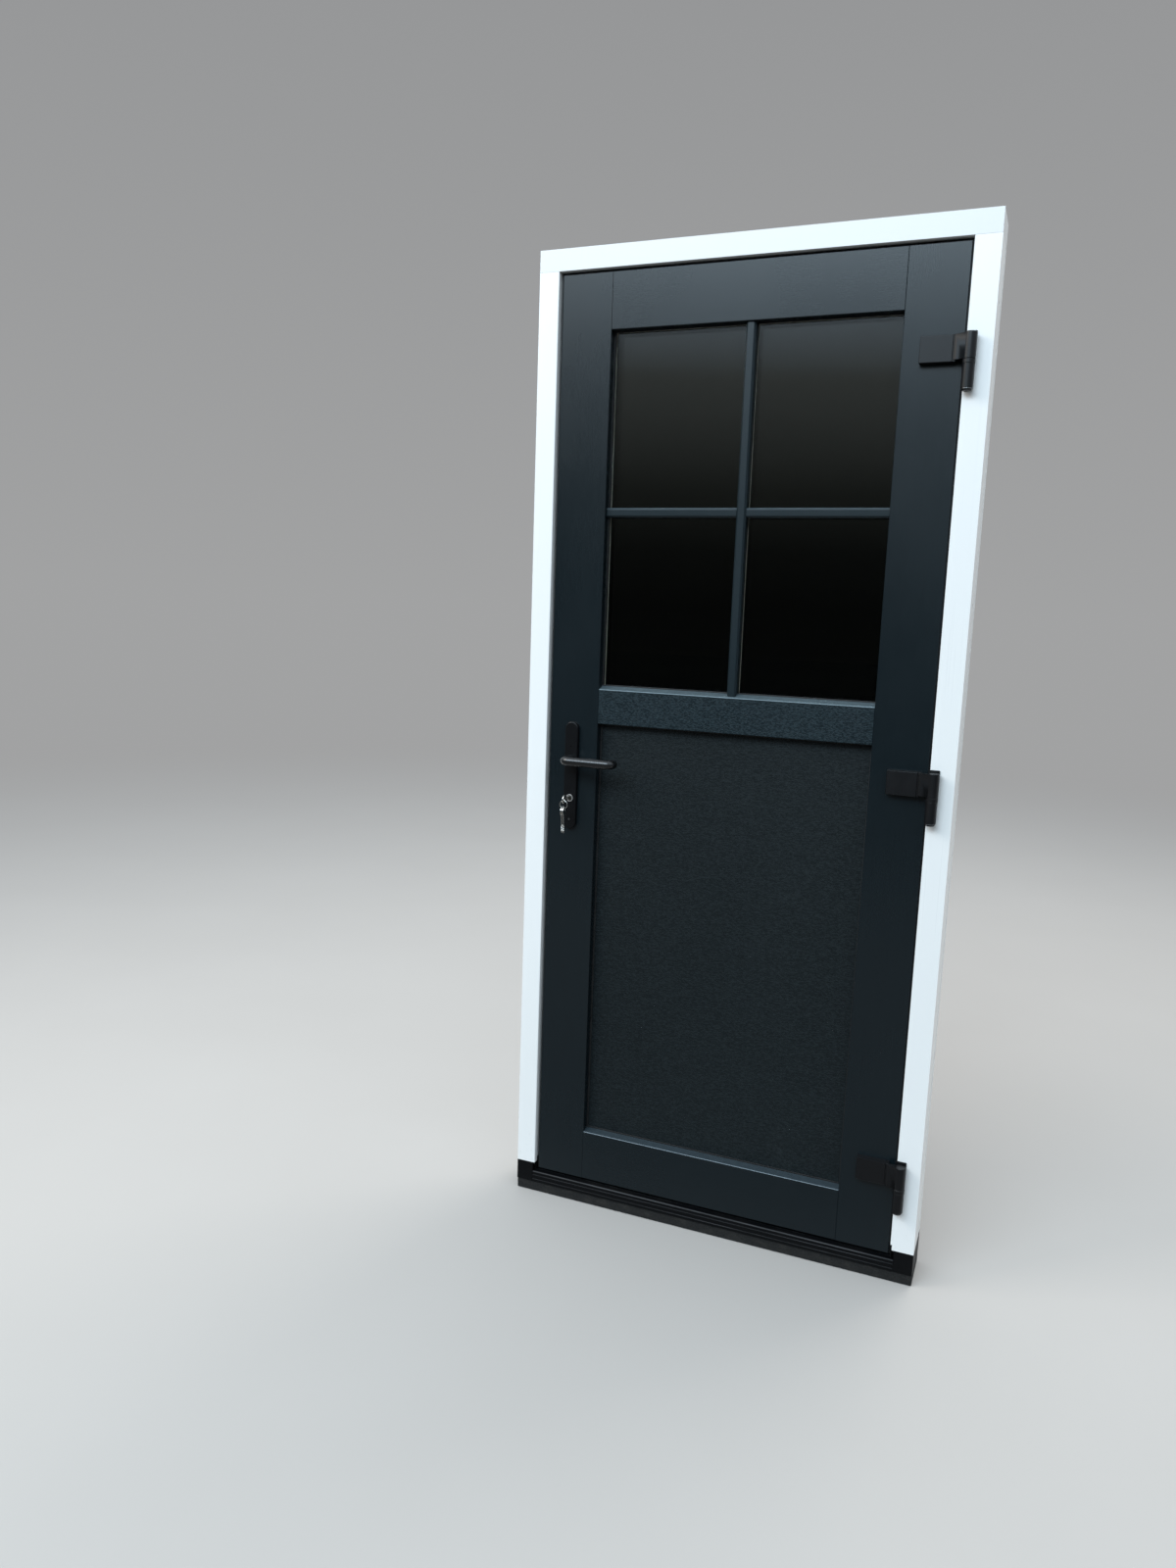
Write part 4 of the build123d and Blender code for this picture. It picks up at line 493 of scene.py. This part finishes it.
def lathe(bm, profile, matrix=Matrix(), segments=40, material=0):
    """Turns a profile of (radius, height) points, from axis to axis, about local Z."""
    rings = []
    for r, h in profile:
        if r < 1e-9:
            rings.append([bm.verts.new(matrix @ Vector((0, 0, h)))])
        else:
            rings.append([bm.verts.new(matrix @ Vector((r * math.cos(a), r * math.sin(a), h)))
                          for a in (2 * math.pi * k / segments for k in range(segments))])
    for lower, upper in zip(rings, rings[1:]):
        for k in range(segments):
            n = (k + 1) % segments
            if len(lower) == 1 and len(upper) == 1:
                continue
            if len(lower) == 1:
                f = bm.faces.new((lower[0], upper[n], upper[k]))
            elif len(upper) == 1:
                f = bm.faces.new((lower[k], lower[n], upper[0]))
            else:
                f = bm.faces.new((lower[k], lower[n], upper[n], upper[k]))
            f.material_index = material


def loose_parts(name):
    """The separate solids of a node, as lists of corner positions."""
    bm = bmesh.new()
    bm.from_mesh(nodes[name].data)
    bmesh.ops.remove_doubles(bm, verts=bm.verts, dist=1e-5)
    left, parts = set(bm.verts), []
    while left:
        seed = left.pop()
        group, queue = [seed.co.copy()], [seed]
        while queue:
            for e in queue.pop().link_edges:
                for v in e.verts:
                    if v in left:
                        left.discard(v)
                        group.append(v.co.copy())
                        queue.append(v)
        parts.append(group)
    bm.free()
    return parts


def screw(bm, matrix, length, head_r=0.0036, shank_r=0.0019):
    """A countersunk screw with a cross recess: head top at local Z 0, shank towards -Z."""
    seg = 32
    rim = [bm.verts.new(matrix @ Vector((head_r * math.cos(a), head_r * math.sin(a), 0))) for a in (2 * math.pi * k / seg for k in range(seg))]
    arm, wide = head_r * 0.58, head_r * 0.15
    outline = []
    for q in range(4):
        c, t = math.cos(q * math.pi / 2), math.sin(q * math.pi / 2)
        for u, v in ((wide, wide), (arm, wide * 0.8), (arm, -wide * 0.8)):
            outline.append((u * c + v * t, u * t - v * c))
    order = sorted(outline, key=lambda p: math.atan2(p[1], p[0]))
    top = [bm.verts.new(matrix @ Vector((x, y, 0))) for x, y in order]
    low = [bm.verts.new(matrix @ Vector((x * 0.62, y * 0.62, -0.0013))) for x, y in order]
    edges = [bm.edges.new((rim[k], rim[(k + 1) % seg])) for k in range(seg)]
    edges += [bm.edges.new((top[k], top[(k + 1) % len(top)])) for k in range(len(top))]
    bmesh.ops.triangle_fill(bm, use_beauty=True, use_dissolve=False, edges=edges)
    for k in range(len(top)):
        n = (k + 1) % len(top)
        bm.faces.new((top[k], top[n], low[n], low[k]))
    bm.faces.new(low)
    # underside of the head, then ridges of the thread
    profile = [(head_r * 0.985, -0.00025), (shank_r, -0.0020)]
    z = -0.0030
    while z > -length + 0.0035:
        profile += [(shank_r * 0.86, z), (shank_r * 1.05, z - 0.00035), (shank_r * 0.86, z - 0.0009)]
        z -= 0.0014
    profile += [(shank_r * 0.8, -length + 0.0025), (0.0, -length)]
    below = rim
    for r, h in profile:
        if r < 1e-9:
            tip = bm.verts.new(matrix @ Vector((0, 0, h)))
            for k in range(seg):
                bm.faces.new((below[(k + 1) % seg], below[k], tip))
            break
        ring = [bm.verts.new(matrix @ Vector((r * math.cos(a), r * math.sin(a), h))) for a in (2 * math.pi * k / seg for k in range(seg))]
        for k in range(seg):
            n = (k + 1) % seg
            bm.faces.new((below[n], below[k], ring[k], ring[n]))
        below = ring


def screws_like(name, body):
    bm = bmesh.new()
    for i, corners in enumerate(loose_parts(name)):
        lo = Vector([min(c[k] for c in corners) for k in range(3)])
        hi = Vector([max(c[k] for c in corners) for k in range(3)])
        size = hi - lo
        axis = max(range(3), key=lambda k: size[k])
        centre = (lo + hi) / 2
        side = [k for k in range(3) if k != axis]
        reach = [math.hypot(*(c[k] - centre[k] for k in side)) for c in corners]
        far = [c[axis] for c, r in zip(corners, reach) if r > max(reach) - 1e-5]
        sign = 1.0 if sum(far) / len(far) > centre[axis] else -1.0
        place = centre.copy()
        place[axis] = hi[axis] if sign > 0 else lo[axis]
        out = Vector((0, 0, 0))
        out[axis] = sign
        turn = out.to_track_quat("Z", "Y").to_matrix().to_4x4() @ Matrix.Rotation(0.5 + 1.1 * i, 4, "Z")
        screw(bm, Matrix.Translation(place) @ turn, size[axis], max(reach) * 0.995)
    o = piece(name + "_detail", bm, "lock_steel", body, sharp=35)
    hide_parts(name)


screws_like("frame_screws", "frame")
screws_like("leaf_screws", "leaf")

# hinge pins: steel pin and thin washer, with a black plug below
AXIS = (0.440, -0.073)
pins, plugs = bmesh.new(), bmesh.new()
for base in (1.888, 1.0345, 0.177):
    at = Matrix.Translation((*AXIS, base))
    lathe(pins, [(0, -0.0012), (0.0102, -0.0012), (0.01055, -0.0009), (0.0106, -0.0003), (0.0104, 0.0), (0.0050, 0.0), (0.0050, 0.0930), (0.0042, 0.0940), (0, 0.0940)], at)
    lathe(plugs, [(0, -0.0026), (0.0016, -0.0026), (0.0020, -0.0030), (0.0020, -0.0044), (0.0024, -0.0045), (0.0078, -0.0045),
                  (0.0088, -0.0041), (0.0094, -0.0033), (0.0096, -0.0024), (0.0096, -0.0012), (0, -0.0012)], at)
pin_piece = piece("hinge_pins_detail", pins, "pin_steel", "frame")
plug_piece = piece("hinge_pin_plugs", plugs, "black_metal", "frame")
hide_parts("hinge_pins")


def seal_ring(name, node, body, rect, section):
    """A seal swept round a rectangle with mitred corners. section is (outward, y) points."""
    x0, x1, z0, z1 = rect
    bm = bmesh.new()
    corners = [(x0, z0, -1, -1), (x1, z0, 1, -1), (x1, z1, 1, 1), (x0, z1, -1, 1)]
    rings = [[bm.verts.new((x + sx * o, y, z + sz * o)) for x, z, sx, sz in corners] for o, y in section]
    for a, b in zip(rings, rings[1:] + rings[:1]):
        for k in range(4):
            n = (k + 1) % 4
            bm.faces.new((a[k], a[n], b[n], b[k]))
    o = piece(name, bm, "rubber", body, sharp=50)
    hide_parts(node)
    return o


def bulb(cx, cy, rx, ry, start, end, count):
    return [(cx + rx * math.cos(math.radians(a)), cy + ry * math.sin(math.radians(a)))
            for a in (start + (end - start) * k / (count - 1) for k in range(count))]


lo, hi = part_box("frame_gasket")
mid = 0.004
seal_ring("frame_gasket_detail", "frame_gasket", "frame", (lo[0] + mid, hi[0] - mid, lo[2] + mid, hi[2] - mid),
          [(-0.0040, 0.0230), (-0.0040, 0.0224)] + bulb(-0.0009, 0.0219, 0.0030, 0.0016, 175, 355, 13) + [(0.0030, 0.0220), (0.0040, 0.0222), (0.0040, 0.0230)])
lo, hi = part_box("leaf_gasket")
mid = 0.0045
seal_ring("leaf_gasket_detail", "leaf_gasket", "leaf", (lo[0] + mid, hi[0] - mid, lo[2] + mid, hi[2] - mid),
          [(0.0, -0.0390), (0.0, -0.0440), (0.0010, -0.0440)] + bulb(0.0024, -0.0418, 0.0021, 0.0021, -100, 20, 10) + [(0.0042, -0.0398), (0.0036, -0.0392), (0.0026, -0.0400), (0.0014, -0.0398), (0.0010, -0.0390)])

# ---------------------------------------------------------------------- stage
floor_mesh = bpy.data.meshes.new("floor")
fb = bmesh.new()
bmesh.ops.create_grid(fb, x_segments=4, y_segments=4, size=30)
fb.to_mesh(floor_mesh)
fb.free()
floor = bpy.data.objects.new("floor", floor_mesh)
scene.collection.objects.link(floor)
floor.location.z = -0.0005
g = Graph("floor")
f_x, f_y, _ = g.xyz()
reach = g.math("SQRT", g.math("ADD", g.math("MULTIPLY", f_x, f_x), g.math("MULTIPLY", f_y, f_y)))
pale = g.mix(g.noise(g.scaled((1.5, 1.5, 1.5)), 1.0, 4), rgb(0.425, 0.40, 0.375), rgb(0.450, 0.425, 0.40))
# for camera rays the floor fades far out to a glow matching the background: painted light
far = g.ramp(reach, 1.6, 9.0)
seen = g.mix(far, pale, rgb(0.0, 0.0, 0.0))
# for all other rays the floor is darker in front of the door and near black far out: painted shade seen only in
# reflections and bounce light
near = g.mix(g.ramp(f_y, 0.25, -0.45), pale, rgb(0.165, 0.155, 0.145))
dim = g.mix(g.ramp(f_y, -3.0, -6.0), near, rgb(0.0041, 0.0042, 0.0041))
eye = g.node("ShaderNodeLightPath").outputs["Is Camera Ray"]
g.set(Base_Color=g.mix(eye, dim, seen), Roughness=0.85)
g.shader.inputs["Emission Color"].default_value = (0.3588, 0.3616, 0.3643, 1)
g.set(Emission_Strength=g.math("MULTIPLY", eye, far))
g.shader.inputs["Specular IOR Level"].default_value = 0.0
floor_mesh.materials.append(g.material)
floor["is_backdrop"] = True

world = bpy.data.worlds.new("studio")
scene.world = world
world.use_nodes = True
wt = world.node_tree
wt.nodes.clear()


def sky_ramp(height, stops):
    n = wt.nodes.new("ShaderNodeValToRGB")
    wt.links.new(height, n.inputs[0])
    band = n.color_ramp
    while len(band.elements) < len(stops):
        band.elements.new(0.5)
    for e, (place, colour) in zip(band.elements, stops):
        e.position = place
        e.color = (*colour, 1.0)
    return n.outputs[0]


def blend(fac, a, b):
    n = wt.nodes.new("ShaderNodeMix")
    n.data_type = "RGBA"
    wt.links.new(fac, n.inputs[0])
    wt.links.new(a, n.inputs[6])
    wt.links.new(b, n.inputs[7])
    return n.outputs[2]


w_coord = wt.nodes.new("ShaderNodeTexCoord")
w_sep = wt.nodes.new("ShaderNodeSeparateXYZ")
wt.links.new(w_coord.outputs["Generated"], w_sep.inputs[0])
height = w_sep.outputs["Z"]
front = sky_ramp(height, [(0.0, (0.004, 0.0043, 0.004)), (0.05, (0.012, 0.013, 0.012)), (0.10, (0.042, 0.046, 0.042)), (0.19, (0.17, 0.185, 0.18)),
                          (0.27, (0.55, 0.68, 0.80)), (0.45, (0.74, 0.87, 0.97)), (1.0, (0.80, 0.90, 1.0))])
back = sky_ramp(height, [(0.0, (0.30, 0.31, 0.32)), (0.45, (0.42, 0.44, 0.45)), (1.0, (0.80, 0.90, 1.0))])
plain = sky_ramp(height, [(0.0, (0.260, 0.262, 0.264)), (0.5, (0.215, 0.218, 0.222)), (1.0, (0.21, 0.213, 0.217))])
side = wt.nodes.new("ShaderNodeMapRange")
side.interpolation_type = "SMOOTHSTEP"
wt.links.new(w_sep.outputs["Y"], side.inputs["Value"])
side.inputs["From Min"].default_value = -0.25
side.inputs["From Max"].default_value = 0.15
path = wt.nodes.new("ShaderNodeLightPath")
w_back = wt.nodes.new("ShaderNodeBackground")
wt.links.new(blend(path.outputs["Is Camera Ray"], blend(side.outputs[0], front, back), plain), w_back.inputs["Color"])
w_back.inputs["Strength"].default_value = 1.38
w_out = wt.nodes.new("ShaderNodeOutputWorld")
wt.links.new(w_back.outputs[0], w_out.inputs[0])


def area(name, place, target, size, power, colour=(1, 1, 1)):
    data = bpy.data.lights.new(name, "AREA")
    data.shape = "RECTANGLE"
    data.size, data.size_y = size
    data.energy = power
    data.color = colour
    o = bpy.data.objects.new(name, data)
    scene.collection.objects.link(o)
    o.location = place
    o.rotation_euler = (Vector(target) - Vector(place)).to_track_quat("-Z", "Y").to_euler()
    return o


area("sky_panel", (-1.0, -5.4, 5.1), (0, 0, 1.5), (5.0, 2.2), 320, (0.70, 0.87, 1.0))
area("key_light", (-3.4, -2.4, 4.0), (0, 0, 1.0), (2.0, 2.0), 92, (1.0, 0.93, 0.86))
area("back_light", (1.6, 3.4, 5.3), (0, 0, 1.0), (3.0, 2.0), 122, (1.0, 0.97, 0.93))

scene.view_settings.view_transform = "Standard"
scene.view_settings.look = "None"
scene.view_settings.exposure = 0.0
scene.view_settings.gamma = 1.0

# --------------------------------------------------------------------- camera
cam_data = bpy.data.cameras.new("camera")
cam = bpy.data.objects.new("camera", cam_data)
scene.collection.objects.link(cam)
scene.camera = cam
cam_data.sensor_fit = "AUTO"
cam_data.sensor_width = 36.0
cam_data.lens = 1135.24 / 1600.0 * 36.0
cam_data.clip_start = 0.05
cam_data.clip_end = 200.0
right = Vector((0.92115, 0.38774, 0.03381)).normalized()
ahead = Vector((-0.37795, 0.91185, -0.16025)).normalized()
up = right.cross(ahead).normalized()
right = ahead.cross(up).normalized()
turn = Matrix((right, up, -ahead)).transposed()
cam.matrix_world = Matrix.Translation((0.64864, -2.40725, 1.45588)) @ turn.to_4x4()

# ---------------------------------------------------------------------- close
lo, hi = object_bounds()
